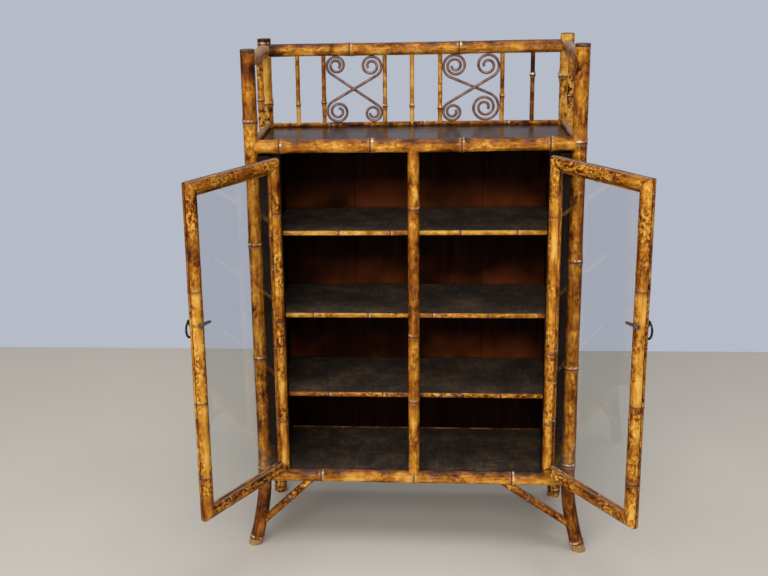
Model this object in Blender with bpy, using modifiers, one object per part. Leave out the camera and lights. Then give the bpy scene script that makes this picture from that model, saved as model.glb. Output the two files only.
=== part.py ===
"""Bamboo display cabinet: a dark timber case held by bamboo poles, with two glazed
doors, three shelves and an open gallery of spindles and scrolled canes on top.

Units are metres and +Z is up. The front faces -Y. The origin lies on the floor,
midway between the two front posts.
"""

import math

import bmesh
import bpy
from mathutils import Vector

# Clearances
gap = 0.0003
overrun = 0.004
weld_distance = 0.00001

# Posts
post_spacing = 0.680
post_depth_spacing = 0.254
post_rise = 0.027
post_radius = 0.015
cap_height = 0.006
cap_radius = 0.0160
cap_round = 0.0016
splay_start = 0.150
splay_out = 0.027
splay_forward = 0.008
splay_power = 1.5
splay_steps = 6

# Rings that stand a little proud at the bamboo's nodes
ring_rise = 0.0009
ring_half_width = 0.003

# Rails
front_top_rail_radius = 0.013
front_top_rail_height = 0.920
front_bottom_rail_radius = 0.014
bottom_rail_height = 0.1695
back_rail_radius = 0.013
side_top_rail_radius = 0.012
side_bottom_rail_radius = 0.013
stile_radius = 0.012

# Gallery
gallery_rail_radius = 0.014
gallery_height = 0.175
gallery_base_radius = 0.005
bedding_depth = 0.001
bedding_half_width = 0.0056
spindle_radius = 0.00475
side_spindle_radius = 0.0073
side_spindle_setback = 0.085
spindle_places = (-0.2655, -0.2055, -0.0665, -0.0050, 0.0585, 0.1975, 0.2650)
cane_radius = 0.0032
scroll_end_radius = 0.0075
scroll_points_per_turn = 18

# Leg braces
brace_radius = 0.0085
brace_foot_heights = {"left": 0.046, "right": 0.057}
brace_insets = {"left": 0.116, "right": 0.156}

# Case
top_board_rise = 0.005
top_board_thickness = 0.012
top_board_side_overhang = 0.010
top_board_back_overhang = 0.010
board_edge_round = 0.0015
side_board_thickness = 0.0230
bottom_board_top = 0.180
bottom_board_thickness = 0.012
back_panel_thickness = 0.010
back_panel_recess = 0.0047
groove_depth = 0.002
groove_half_width = 0.0015
side_board_foot = 0.1565
stop_width = 0.020
stop_thickness = 0.005
stop_clearance = 0.0015
stop_embed = 0.001
stop_foot_clearance = 0.003
shelf_thickness = 0.010
shelf_heights = {"lower": 0.359, "middle": 0.545, "upper": 0.731}
edging_arc_steps = 8

# Doors
door_bar_radius = 0.0135
door_planed_depth = 0.004
door_top_clearance = 0.002
door_bottom_clearance = 0.0115
door_stile_clearance = 0.0015
door_rest_angles = {"left": 120.2, "right": 122.5}
glass_thickness = 0.003
glass_seat = 0.003
bead_width = 0.006
bead_depth = 0.006
bead_embed = 0.003

# Door hinges
hinge_length = 0.050
hinge_inset = 0.090
hinge_leaf_thickness = 0.0012
hinge_leaf_depth = 0.0235
hinge_leaf_play = 0.0003
knuckle_radius = 0.0025
knuckle_middle_half = 0.0085
knuckle_inset = 0.0002
hinge_pin_radius = 0.0012
hinge_pin_play = 0.0003
hinge_pin_tip = 0.001
pin_proud = 0.002

# Turn latches with their drop rings
latch_height = 0.620
latch_spindle_radius = 0.003
latch_bore_play = 0.0003
rose_radius = 0.0088
rose_thickness = 0.0015
lug_radius = 0.004
lug_thickness = 0.004
lug_embed = 0.0008
drop_wire_radius = 0.0019
drop_wire_play = 0.0004
drop_half_width = 0.0100
drop_length = 0.032
drop_side_play = 0.0006
tongue_reach = 0.026
tongue_tail = 0.013
tongue_half_width = 0.004
tongue_thickness = 0.0027
boss_radius = 0.0045
boss_thickness = 0.0015

# How finely round things are faceted: a curve has 4 + 2 x its resolution sides
pole_resolution = 6
rail_resolution = 4
spindle_resolution = 2
cane_resolution = 1
wire_resolution = 2
cutter_sides = 24
small_sides = 10
drop_steps = 20
end_arc_steps = 6

# Places of the node rings, as shares of each pole's clear length
post_case_ring_shares = {
    ("front", "left"): (0.002, 0.381, 0.750),
    ("front", "right"): (0.029, 0.354, 0.697),
    ("rear", "left"): (0.120, 0.460, 0.810),
    ("rear", "right"): (0.080, 0.430, 0.770),
}
post_gallery_ring_shares = {
    ("front", "left"): 0.26,
    ("front", "right"): 0.02,
    ("rear", "left"): 0.28,
    ("rear", "right"): 0.63,
}
post_leg_ring_share = 0.10
front_top_ring_shares = (0.088, 0.369, 0.647, 0.913)
front_bottom_ring_shares = (0.191, 0.830)
back_bottom_ring_shares = (0.230, 0.560, 0.860)
side_rail_ring_shares = (0.350,)
gallery_back_ring_shares = (0.287, 0.648)
gallery_side_ring_shares = (0.420,)
stile_ring_shares = (0.232, 0.444, 0.839)
spindle_ring_shares = (0.27, 0.28, 0.24, 0.23, 0.20, 0.35, 0.66)
side_spindle_ring_share = 0.40
hinge_bar_ring_shares = (0.16, 0.50, 0.835)
free_bar_ring_shares = (0.12, 0.36, 0.70)
door_top_ring_shares = (0.70,)
door_bottom_ring_shares = (0.74,)
brace_ring_shares = {"left": 0.54, "right": 0.58}
groove_shares = (0.27, 0.52, 0.76)

# Outer radius of each spiral, as a share of half its panel's width, and its turns.
# A spiral is named by the panel it is in and by the corner it fills.
scroll_radius_shares = {
    ("left", -1, 1): 0.303,
    ("left", 1, 1): 0.335,
    ("left", -1, -1): 0.358,
    ("left", 1, -1): 0.277,
    ("right", -1, 1): 0.375,
    ("right", 1, 1): 0.372,
    ("right", -1, -1): 0.300,
    ("right", 1, -1): 0.440,
}
scroll_turns = {
    ("left", -1, 1): 1.65,
    ("left", 1, 1): 1.60,
    ("left", -1, -1): 1.75,
    ("left", 1, -1): 1.50,
    ("right", -1, 1): 2.00,
    ("right", 1, 1): 1.55,
    ("right", -1, -1): 1.60,
    ("right", 1, -1): 2.10,
}

# Derived places of the poles
sides = {"left": -1, "right": 1}
post_x = post_spacing / 2
post_places = {
    ("front", "left"): (-post_x, 0),
    ("front", "right"): (post_x, 0),
    ("rear", "left"): (-post_x, post_depth_spacing),
    ("rear", "right"): (post_x, post_depth_spacing),
}
top_board_top = front_top_rail_height + top_board_rise
top_board_bottom = top_board_top - top_board_thickness
gallery_rail_height = top_board_top + gallery_height
gallery_base_height = top_board_top - bedding_depth + gap + gallery_base_radius
post_height = gallery_rail_height + post_rise
side_top_rail_height = top_board_bottom - gap - ring_rise - side_top_rail_radius
front_top_rail_under = front_top_rail_height - front_top_rail_radius
front_bottom_rail_top = bottom_rail_height + front_bottom_rail_radius
ring_margin = ring_half_width + gap

# Each scrolled panel is the bay between two of the spindles
panel_bays = {
    "left": (spindle_places[1], spindle_places[2]),
    "right": (spindle_places[4], spindle_places[5]),
}

# Derived places of the case
side_board_outer = post_x - post_radius - ring_rise - gap
side_board_inner = side_board_outer - side_board_thickness
board_half_width = side_board_inner - gap
top_board_front = front_top_rail_radius + ring_rise + gap
bottom_board_front = front_bottom_rail_radius + ring_rise + gap
bottom_board_back = post_depth_spacing - back_rail_radius - ring_rise - gap
back_panel_back = post_depth_spacing - back_panel_recess
back_panel_front = back_panel_back - back_panel_thickness
back_panel_foot = bottom_rail_height + back_rail_radius + ring_rise + gap
case_top = top_board_bottom - gap

# Derived places of the doors
pin_y = -(door_bar_radius + pin_proud)
leaf_outer = hinge_leaf_play + hinge_leaf_thickness
pin_x = side_board_inner - gap - leaf_outer
case_front = pin_y + knuckle_radius + gap
door_bottom = front_bottom_rail_top + door_bottom_clearance
door_top = front_top_rail_under - door_top_clearance
door_flat = leaf_outer + gap
door_hinge_axis = door_flat + door_bar_radius - door_planed_depth
door_reach = pin_x - stile_radius - door_stile_clearance
door_free_axis = door_reach - door_bar_radius
door_mid = -pin_y
stop_front = door_bar_radius + stop_clearance
stop_back = stop_front + stop_thickness
shelf_front = stop_back + gap

# Derived places of the latches
rose_front = door_bar_radius + gap + rose_thickness
eye_out = rose_front + lug_radius
tongue_front = door_bar_radius + gap
tongue_back = tongue_front + tongue_thickness

# Colour, roughness and metallic value of each finish
finishes = {
    "bamboo": ((0.58, 0.28, 0.055), 0.28, 0.0),
    "cane": ((0.21, 0.12, 0.08), 0.50, 0.0),
    "dark_board": ((0.020, 0.012, 0.010), 0.18, 0.0),
    "case_timber": ((0.030, 0.018, 0.014), 0.45, 0.0),
    "back_boards": ((0.080, 0.025, 0.010), 0.60, 0.0),
    "shelf_matting": ((0.045, 0.030, 0.022), 0.85, 0.0),
    "glass": ((0.62, 0.68, 0.70), 0.04, 0.0),
    "iron": ((0.020, 0.018, 0.018), 0.45, 0.85),
}


def new_collection(name):
    """Adds a collection to the scene."""
    made = bpy.data.collections.new(name)
    bpy.context.scene.collection.children.link(made)
    return made


def clear_scene():
    """Removes every object of the open scene."""
    for old in list(bpy.data.objects):
        bpy.data.objects.remove(old)


clear_scene()
parts = new_collection("bamboo_cabinet")
cutters = new_collection("cutters")


# Helpers that make and finish objects

def finish(item, kind):
    """Gives an object its own material of the named finish."""
    colour, roughness, metallic = finishes[kind]
    material = bpy.data.materials.new(item.name + "_finish")
    material.use_nodes = True
    shader = material.node_tree.nodes["Principled BSDF"]
    shader.inputs["Base Color"].default_value = (*colour, 1)
    shader.inputs["Roughness"].default_value = roughness
    shader.inputs["Metallic"].default_value = metallic
    item.data.materials.append(material)


def as_cutter(item):
    """Hides an object that only shapes others."""
    item.hide_render = True
    item.display_type = "WIRE"
    for owner in list(item.users_collection):
        owner.objects.unlink(item)
    cutters.objects.link(item)
    return item


def place(item, location=(0, 0, 0), parent=None):
    """Links an object to the parts and sets where it stands."""
    parts.objects.link(item)
    item.location = location
    item.parent = parent
    return item


def pivot(name, location, turn=0, parent=None):
    """An empty on a joint's axis, which carries the pieces that move with it."""
    made = place(bpy.data.objects.new(name, None), location, parent)
    made.rotation_euler.z = turn
    return made


def round_shading(mesh):
    """Smooths round faces and keeps the real edges sharp."""
    mesh.shade_smooth()
    mesh.set_sharp_from_angle(angle=math.radians(40))


def tube(name, points, radii, resolution, location=(0, 0, 0), parent=None, closed=False):
    """A round rod along its local points, with a radius at each."""
    curve = bpy.data.curves.new(name, "CURVE")
    curve.dimensions = "3D"
    curve.bevel_depth = radii[0]
    curve.bevel_resolution = resolution
    curve.use_fill_caps = not closed
    spline = curve.splines.new("POLY")
    spline.points.add(len(points) - 1)
    for target, point, radius in zip(spline.points, points, radii):
        target.co = (*point, 1)
        target.radius = radius / radii[0]
    spline.use_cyclic_u = closed
    return place(bpy.data.objects.new(name, curve), location, parent)


def to_mesh(item):
    """Turns a curve object into a closed mesh object of the same name and place."""
    bpy.context.view_layer.update()
    evaluated = item.evaluated_get(bpy.context.evaluated_depsgraph_get())
    mesh = bpy.data.meshes.new_from_object(evaluated)
    work = bmesh.new()
    work.from_mesh(mesh)
    bmesh.ops.remove_doubles(work, verts=work.verts, dist=weld_distance)
    bmesh.ops.recalc_face_normals(work, faces=work.faces)
    work.to_mesh(mesh)
    work.free()
    round_shading(mesh)
    name, parent, matrix = item.name, item.parent, item.matrix_world.copy()
    bpy.data.objects.remove(item)
    made = bpy.data.objects.new(name, mesh)
    parts.objects.link(made)
    made.parent = parent
    made.matrix_world = matrix
    return made


def box(name, low, high, parent=None):
    """A box between two opposite corners, with its origin at its centre."""
    size = Vector(high) - Vector(low)
    mesh = bpy.data.meshes.new(name)
    work = bmesh.new()
    bmesh.ops.create_cube(work, size=1)
    bmesh.ops.scale(work, vec=size, verts=work.verts)
    work.to_mesh(mesh)
    work.free()
    return place(bpy.data.objects.new(name, mesh), (Vector(low) + Vector(high)) / 2, parent)


def rod(name, start, end, radius, side_count, parent=None):
    """A plain cylinder between two points, with its origin at its middle."""
    start, end = Vector(start), Vector(end)
    mesh = bpy.data.meshes.new(name)
    work = bmesh.new()
    bmesh.ops.create_cone(work, cap_ends=True, segments=side_count, radius1=radius,
                          radius2=radius, depth=(end - start).length)
    work.to_mesh(mesh)
    work.free()
    round_shading(mesh)
    made = place(bpy.data.objects.new(name, mesh), (start + end) / 2, parent)
    made.rotation_mode = "QUATERNION"
    made.rotation_quaternion = (end - start).to_track_quat("Z", "Y")
    return made


def slab(name, outlines, thickness, location, turn, parent=None):
    """A flat outline, with any holes, made as thick as asked about its own plane."""
    curve = bpy.data.curves.new(name, "CURVE")
    curve.dimensions = "2D"
    curve.fill_mode = "BOTH"
    curve.extrude = thickness / 2
    for outline in outlines:
        spline = curve.splines.new("POLY")
        spline.points.add(len(outline) - 1)
        for target, (x, y) in zip(spline.points, outline):
            target.co = (x, y, 0, 1)
        spline.use_cyclic_u = True
    made = place(bpy.data.objects.new(name, curve), location, parent)
    made.rotation_euler = turn
    return to_mesh(made)


upright_across = (math.radians(90), 0, 0)
upright_lengthwise = (math.radians(90), 0, math.radians(90))


def arc(centre, radius, first, last, steps):
    """Points on an arc of a circle, between two angles in degrees."""
    angles = [math.radians(first + (last - first) * step / steps) for step in range(steps + 1)]
    return [(centre[0] + radius * math.cos(a), centre[1] + radius * math.sin(a)) for a in angles]


def cut(item, *tools):
    """Takes each tool's shape out of an object."""
    for tool in tools:
        modifier = item.modifiers.new("cut " + tool.name, "BOOLEAN")
        modifier.object = tool
        modifier.operation = "DIFFERENCE"


def join(item, *others):
    """Makes one solid of an object and others that overlap it."""
    for other in others:
        modifier = item.modifiers.new("join " + other.name, "BOOLEAN")
        modifier.object = as_cutter(other)
        modifier.operation = "UNION"


def clearance_rod(name, start, end, radius):
    """A cutter that leaves a gap round a pole of the given radius."""
    outer = (radius + gap) / math.cos(math.pi / cutter_sides)
    return as_cutter(rod(name, start, end, outer, cutter_sides))


# Bamboo poles

def ring_stations(places, radius):
    """Stations of the node rings along a pole, each a place and a radius."""
    stations = []
    for ring in places:
        stations.append((ring - ring_half_width, radius))
        stations.append((ring, radius + ring_rise))
        stations.append((ring + ring_half_width, radius))
    return stations


def pole(name, start, end, radius, ring_shares, resolution):
    """A straight bamboo pole from start to end, with its rings at shares of its length."""
    run = Vector(end) - Vector(start)
    length = run.length
    stations = [(0, radius)]
    stations += ring_stations([share * length for share in sorted(ring_shares)], radius)
    stations.append((length, radius))
    points = [run * (along / length) for along, _ in stations]
    radii = [size for _, size in stations]
    made = to_mesh(tube(name, points, radii, resolution, start))
    finish(made, "bamboo")
    return made


def splay(z):
    """Share of the whole splay that a front leg has reached at a height."""
    if z >= splay_start:
        return 0
    return ((splay_start - z) / splay_start) ** splay_power


def leg_point(side, z):
    """Axis of a front leg at a height, from the post's own line."""
    share = splay(z)
    return (side * splay_out * share, -splay_forward * share, z)


def between(low, high, share):
    """A place at a share of the way from low to high."""
    return low + (high - low) * share


def post_rings(place_name):
    """Heights of a post's rings, in the leg, the case and the gallery."""
    leg_top = bottom_rail_height - front_bottom_rail_radius
    case_low = front_bottom_rail_top + ring_margin
    case_high = side_top_rail_height - side_top_rail_radius - ring_margin
    gallery_low = gallery_base_height + gallery_base_radius + ring_margin
    gallery_high = gallery_rail_height - gallery_rail_radius - ring_margin
    heights = [between(0, leg_top, post_leg_ring_share)]
    heights += [between(case_low, case_high, share) for share in post_case_ring_shares[place_name]]
    heights.append(between(gallery_low, gallery_high, post_gallery_ring_shares[place_name]))
    return heights


def make_post(row, side_name):
    """A full-height post, splayed at the foot and capped if it stands in front."""
    side = sides[side_name]
    name = f"post_{row}_{side_name}"
    x, y = post_places[row, side_name]
    stations = ring_stations(post_rings((row, side_name)), post_radius)
    if row == "front":
        stations += [(splay_start * step / splay_steps, post_radius) for step in range(1, splay_steps + 1)]
        cap_foot = post_height - cap_height
        stations += [(cap_foot - cap_round, post_radius), (cap_foot, cap_radius)]
        stations += [(post_height - cap_round, cap_radius), (post_height, cap_radius - cap_round)]
        first, bend = -2 * overrun, side
    else:
        stations.append((post_height, post_radius))
        first, bend = 0, 0
    stations.append((first, post_radius))
    stations.sort()
    points = [leg_point(bend, z) if bend else (0, 0, z) for z, _ in stations]
    made = to_mesh(tube(name, points, [size for _, size in stations], pole_resolution, (x, y, 0)))
    if row == "front":
        cut(made, floor_cutter)
    finish(made, "bamboo")


def make_poles():
    """Posts, rails and the centre stile, with the rails' ends coped round what they meet."""
    for row, side_name in post_places:
        make_post(row, side_name)
    front, back, y_back = {}, {}, post_depth_spacing
    for side_name, side in sides.items():
        front[side_name] = clearance_rod(f"round_front_post_{side_name}", (side * post_x, 0, splay_start),
                                         (side * post_x, 0, post_height + overrun), post_radius)
        back[side_name] = clearance_rod(f"round_rear_post_{side_name}", (side * post_x, y_back, 0),
                                        (side * post_x, y_back, post_height + overrun), post_radius)
    make_cross_rails(front, back, y_back)
    make_side_rails(front, back, y_back)
    stile = pole("centre_stile", (0, 0, bottom_rail_height), (0, 0, front_top_rail_height),
                 stile_radius, stile_ring_shares, rail_resolution)
    cut(stile, round_rails["front_top"], round_rails["front_bottom"])


def cross_rail(name, y, z, radius, ring_shares, posts):
    """A rail from the left post to the right one, and the cutter that clears it."""
    made = pole(name, (-post_x, y, z), (post_x, y, z), radius, ring_shares, rail_resolution)
    cut(made, *posts.values())
    return clearance_rod("round_" + name, (-post_x - overrun, y, z), (post_x + overrun, y, z), radius)


def make_cross_rails(front, back, y_back):
    """Rails that run from side to side."""
    round_rails["front_top"] = cross_rail("rail_front_top", 0, front_top_rail_height,
                                          front_top_rail_radius, front_top_ring_shares, front)
    round_rails["front_bottom"] = cross_rail("rail_front_bottom", 0, bottom_rail_height,
                                             front_bottom_rail_radius, front_bottom_ring_shares, front)
    round_rails["back_bottom"] = cross_rail("rail_back_bottom", y_back, bottom_rail_height,
                                            back_rail_radius, back_bottom_ring_shares, back)
    round_rails["gallery_back"] = cross_rail("gallery_rail_back", y_back, gallery_rail_height,
                                             gallery_rail_radius, gallery_back_ring_shares, back)
    round_rails["base_back"] = cross_rail("gallery_base_back", y_back, gallery_base_height,
                                          gallery_base_radius, (), back)


def make_side_rails(front, back, y_back):
    """Rails that run from front to back, clear of the rails that they meet at the posts."""
    for side_name, side in sides.items():
        x = side * post_x
        kinds = {
            "rail_side_top": (side_top_rail_height, side_top_rail_radius, side_rail_ring_shares),
            "rail_side_bottom": (bottom_rail_height, side_bottom_rail_radius, side_rail_ring_shares),
            "gallery_rail": (gallery_rail_height, gallery_rail_radius, gallery_side_ring_shares),
            "gallery_base": (gallery_base_height, gallery_base_radius, ()),
        }
        for kind, (z, radius, ring_shares) in kinds.items():
            name = f"{kind}_{side_name}"
            made = pole(name, (x, 0, z), (x, y_back, z), radius, ring_shares, rail_resolution)
            cut(made, front[side_name], back[side_name])
            for crossing in crossings[kind]:
                cut(made, round_rails[crossing])
            round_rails[name] = clearance_rod("round_" + name, (x, -overrun, z),
                                              (x, y_back + overrun, z), radius)


crossings = {
    "rail_side_top": ("front_top",),
    "rail_side_bottom": ("front_bottom", "back_bottom"),
    "gallery_rail": ("gallery_back",),
    "gallery_base": (),
}
round_rails = {}
floor_cutter = as_cutter(box("floor_cutter", (-post_spacing, -post_spacing, -post_radius),
                             (post_spacing, post_spacing, 0)))


def make_braces():
    """A slanting cane from each front leg up to the underside of the bottom rail."""
    for side_name, side in sides.items():
        heights = [splay_start * step / splay_steps for step in range(splay_steps + 1)]
        leg_points = [leg_point(side, z) for z in heights]
        leg_cutter = to_mesh(tube(f"round_leg_{side_name}", leg_points, [post_radius + gap] * len(heights),
                                  pole_resolution, (side * post_x, 0, 0)))
        x, y, z = leg_point(side, brace_foot_heights[side_name])
        foot = (side * post_x + x, y, z)
        head = (side * (post_x - brace_insets[side_name]), 0, bottom_rail_height)
        made = pole(f"leg_brace_{side_name}", foot, head, brace_radius, (brace_ring_shares[side_name],),
                    rail_resolution)
        cut(made, as_cutter(leg_cutter), round_rails["front_bottom"])


# Gallery

def make_spindles():
    """Thin upright canes under the gallery rails, coped over the rails at both ends."""
    for number, x in enumerate(spindle_places, start=1):
        made = pole(f"spindle_back_{number}", (x, post_depth_spacing, gallery_base_height),
                    (x, post_depth_spacing, gallery_rail_height), spindle_radius,
                    (spindle_ring_shares[number - 1],), spindle_resolution)
        cut(made, round_rails["base_back"], round_rails["gallery_back"])
    for side_name, side in sides.items():
        y = post_depth_spacing - side_spindle_setback
        made = pole(f"spindle_side_{side_name}", (side * post_x, y, gallery_base_height),
                    (side * post_x, y, gallery_rail_height), side_spindle_radius,
                    (side_spindle_ring_share,), rail_resolution)
        cut(made, round_rails[f"gallery_base_{side_name}"], round_rails[f"gallery_rail_{side_name}"])


def seat(radius):
    """Distance in the panel's plane from a cane that touches a pole to that pole's axis."""
    offset = cane_radius + gap / 2
    return math.sqrt((cane_radius + radius + gap) ** 2 - offset ** 2)


def spiral_end(panel, corner_x, corner_z, reach_x, reach_z):
    """Points from the panel's middle to the tip of the spiral that fills one corner."""
    near, far = panel_bays[panel]
    outer = scroll_radius_shares[panel, corner_x, corner_z] * (far - near) / 2
    last = scroll_turns[panel, corner_x, corner_z] * 2 * math.pi
    decay = (outer - scroll_end_radius) / last
    centre_x = reach_x - outer
    centre_z = reach_z - outer + decay * math.pi / 2
    distance = math.hypot(centre_x, centre_z)
    first = 0
    for _ in range(4):
        first = math.atan2(-centre_z, -centre_x) + math.acos((outer - decay * first) / distance)
    steps = math.ceil((last - first) / (2 * math.pi) * scroll_points_per_turn)
    points = []
    for step in range(steps + 1):
        angle = first + (last - first) * step / steps
        radius = outer - decay * angle
        x = centre_x + radius * math.cos(angle)
        z = centre_z + radius * math.sin(angle)
        points.append((corner_x * x, 0, corner_z * z))
    return points


def make_scrolls():
    """Two bent canes in each panel, which cross in the middle and curl up in its corners."""
    low = gallery_base_height + seat(gallery_base_radius)
    high = gallery_rail_height - seat(gallery_rail_radius)
    middle_z = (low + high) / 2
    reach_z = (high - low) / 2
    offset = cane_radius + gap / 2
    for panel, (near, far) in panel_bays.items():
        reach_x = (far - near) / 2 - seat(spindle_radius)
        for kind, slope in (("rising", 1), ("falling", -1)):
            left_end = spiral_end(panel, -1, -slope, reach_x, reach_z)
            right_end = spiral_end(panel, 1, slope, reach_x, reach_z)
            points = left_end[::-1] + [(0, 0, 0)] + right_end
            made = tube(f"scroll_{panel}_{kind}", points, [cane_radius] * len(points), cane_resolution,
                        ((near + far) / 2, post_depth_spacing - slope * offset, middle_z))
            finish(made, "cane")


# Case

def make_side_board(side_name):
    """A side of the case, notched for the rails, with the door stop on its inner face."""
    side = sides[side_name]
    rail_back = bottom_board_front
    back_notch = bottom_board_back
    low = front_bottom_rail_top + ring_rise + gap
    high = front_top_rail_under - ring_rise - gap
    outline = [
        (case_front, low), (rail_back, low), (rail_back, side_board_foot),
        (back_notch, side_board_foot), (back_notch, back_panel_foot),
        (back_panel_back, back_panel_foot), (back_panel_back, case_top),
        (rail_back, case_top), (rail_back, high), (case_front, high),
    ]
    middle = side * (side_board_inner + side_board_outer) / 2
    board = slab(f"side_board_{side_name}", [outline], side_board_thickness, (middle, 0, 0), upright_lengthwise)
    across = sorted((side * (side_board_inner - stop_width), side * (side_board_inner + stop_embed)))
    stop = box(f"stop_{side_name}", (across[0], stop_front, bottom_board_top + stop_foot_clearance),
               (across[1], stop_back, case_top - gap))
    join(board, stop)
    finish(board, "case_timber")


def make_boards():
    """Top board with the gallery's rails bedded in it, bottom board and back panel of boards."""
    half = post_x + top_board_side_overhang
    top = box("top_board", (-half, top_board_front, top_board_bottom),
              (half, post_depth_spacing + top_board_back_overhang, top_board_top))
    edge = top.modifiers.new("edges", "BEVEL")
    edge.width = board_edge_round
    edge.segments = 2
    for (row, side_name), (x, y) in post_places.items():
        cut(top, clearance_rod(f"notch_{row}_{side_name}", (x, y, top_board_bottom - overrun),
                               (x, y, top_board_top + overrun), post_radius))
    bed_foot = top_board_top - bedding_depth
    bed_top = top_board_top + overrun
    for side_name, side in sides.items():
        x = side * post_x
        cut(top, as_cutter(box(f"bedding_{side_name}", (x - bedding_half_width, 0, bed_foot),
                               (x + bedding_half_width, post_depth_spacing, bed_top))))
    cut(top, as_cutter(box("bedding_back", (-post_x, post_depth_spacing - bedding_half_width, bed_foot),
                           (post_x, post_depth_spacing + bedding_half_width, bed_top))))
    finish(top, "dark_board")
    bottom = box("bottom_board", (-board_half_width, bottom_board_front, bottom_board_top - bottom_board_thickness),
                 (board_half_width, back_panel_front - gap, bottom_board_top))
    finish(bottom, "case_timber")
    outline = [(-board_half_width, back_panel_back), (-board_half_width, back_panel_front)]
    for share in groove_shares:
        x = between(-board_half_width, board_half_width, share)
        outline.append((x - groove_half_width, back_panel_front))
        outline.append((x, back_panel_front + groove_depth))
        outline.append((x + groove_half_width, back_panel_front))
    outline += [(board_half_width, back_panel_front), (board_half_width, back_panel_back)]
    panel = slab("back_panel", [outline], case_top - back_panel_foot,
                 (0, 0, (case_top + back_panel_foot) / 2), (0, 0, 0))
    finish(panel, "back_boards")


def make_shelves():
    """Shelves behind the door stops, each with a half-round cane on its front edge."""
    half = shelf_thickness / 2
    edging_half = side_board_inner - stop_width - gap
    for level, z in shelf_heights.items():
        board = box(f"shelf_{level}", (-board_half_width, shelf_front, z - half),
                    (board_half_width, back_panel_front - gap, z + half))
        finish(board, "shelf_matting")
        outline = arc((0, 0), half, 90, 270, edging_arc_steps)
        edging = slab(f"shelf_edging_{level}", [outline], 2 * edging_half,
                      (0, stop_back, z), upright_lengthwise)
        finish(edging, "bamboo")


# Doors

def mitre_corner(work, corner, outward):
    """Cuts the open end of a bar along the mitre of a corner."""
    geometry = work.verts[:] + work.edges[:] + work.faces[:]
    bmesh.ops.bisect_plane(work, geom=geometry, plane_co=corner, plane_no=outward, clear_outer=True)


def door_bar(name, start, end, ring_shares):
    """An open bar between two corners of a door frame, cut to a mitre at both."""
    run = end - start
    along = run.normalized()
    spare = 2 * door_bar_radius
    length = run.length
    stations = [(-spare, door_bar_radius)]
    stations += ring_stations([share * length for share in ring_shares], door_bar_radius)
    stations.append((length + spare, door_bar_radius))
    bar = to_mesh(tube(name, [start + along * place_on for place_on, _ in stations],
                       [size for _, size in stations], rail_resolution))
    work = bmesh.new()
    work.from_mesh(bar.data)
    inward = Vector((-along.z, 0, along.x))
    mitre_corner(work, start, inward - along)
    mitre_corner(work, end, inward + along)
    work.to_mesh(bar.data)
    work.free()
    return bar


def make_door_frame(side_name, hinge_line):
    """Four mitred bars welded at the corners, planed flat at the hinges, with a bead."""
    inward = -sides[side_name]
    low, high = door_bottom + door_bar_radius, door_top - door_bar_radius
    corners = [Vector((inward * x, door_mid, z)) for x, z in
               ((door_hinge_axis, low), (door_free_axis, low), (door_free_axis, high), (door_hinge_axis, high))]
    shares = [door_bottom_ring_shares, free_bar_ring_shares,
              [1 - share for share in door_top_ring_shares], [1 - share for share in hinge_bar_ring_shares]]
    if inward < 0:
        corners.reverse()
        shares = [shares[2], shares[1], shares[0], shares[3]]
        shares = [[1 - share for share in row] for row in shares]
    frame_mesh = bpy.data.meshes.new(f"door_frame_{side_name}")
    work = bmesh.new()
    for number, corner in enumerate(corners):
        bar = door_bar(f"bar_{number}", corner, corners[(number + 1) % len(corners)], sorted(shares[number]))
        work.from_mesh(bar.data)
        bpy.data.objects.remove(bar)
    bmesh.ops.remove_doubles(work, verts=work.verts, dist=weld_distance)
    bmesh.ops.recalc_face_normals(work, faces=work.faces)
    work.to_mesh(frame_mesh)
    work.free()
    round_shading(frame_mesh)
    frame = place(bpy.data.objects.new(f"door_frame_{side_name}", frame_mesh), parent=hinge_line)
    add_bead_and_seats(frame, side_name, hinge_line, inward)
    finish(frame, "bamboo")


def inside_edges():
    """Inner edges of the door's bars: from the pin, and in height."""
    near = door_hinge_axis + door_bar_radius
    far = door_free_axis - door_bar_radius
    return near, far, door_bottom + 2 * door_bar_radius, door_top - 2 * door_bar_radius


def rectangle(inward, grow):
    """Corners of the door's inner edges, grown outwards by a margin."""
    near, far, low, high = inside_edges()
    xs = sorted((inward * (near - grow), inward * (far + grow)))
    return [(xs[0], low - grow), (xs[1], low - grow), (xs[1], high + grow), (xs[0], high + grow)]


def add_bead_and_seats(frame, side_name, hinge_line, inward):
    """The bead behind the glass, the glass's groove, the planed face and the latch's bore."""
    bead = slab(f"bead_{side_name}", [rectangle(inward, bead_embed), rectangle(inward, -bead_width)],
                bead_depth, (0, door_mid + bead_depth / 2, 0), upright_across, hinge_line)
    join(frame, bead)
    groove = rectangle(inward, glass_seat + gap)
    half = glass_thickness / 2 + gap
    cut(frame, as_cutter(box(f"glass_groove_{side_name}", (groove[0][0], door_mid - half, groove[0][1]),
                             (groove[2][0], door_mid + half, groove[2][1]), hinge_line)))
    planed = sorted((inward * (door_flat - door_bar_radius), inward * door_flat))
    cut(frame, as_cutter(box(f"planed_{side_name}", (planed[0], door_mid - 2 * door_bar_radius, door_bottom - overrun),
                             (planed[1], door_mid + 2 * door_bar_radius, door_top + overrun), hinge_line)))
    x = inward * door_free_axis
    bore = rod(f"latch_bore_{side_name}", (x, door_mid - door_bar_radius - overrun, latch_height),
               (x, door_mid + door_bar_radius + overrun, latch_height),
               latch_spindle_radius + latch_bore_play, small_sides, hinge_line)
    cut(frame, as_cutter(bore))


def make_glass(side_name, hinge_line):
    """The pane, whose edges sit in the frame's groove."""
    inward = -sides[side_name]
    edge = rectangle(inward, glass_seat)
    half = glass_thickness / 2
    pane = box(f"door_glass_{side_name}", (edge[0][0], door_mid - half, edge[0][1]),
               (edge[2][0], door_mid + half, edge[2][1]), hinge_line)
    finish(pane, "glass")


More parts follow.
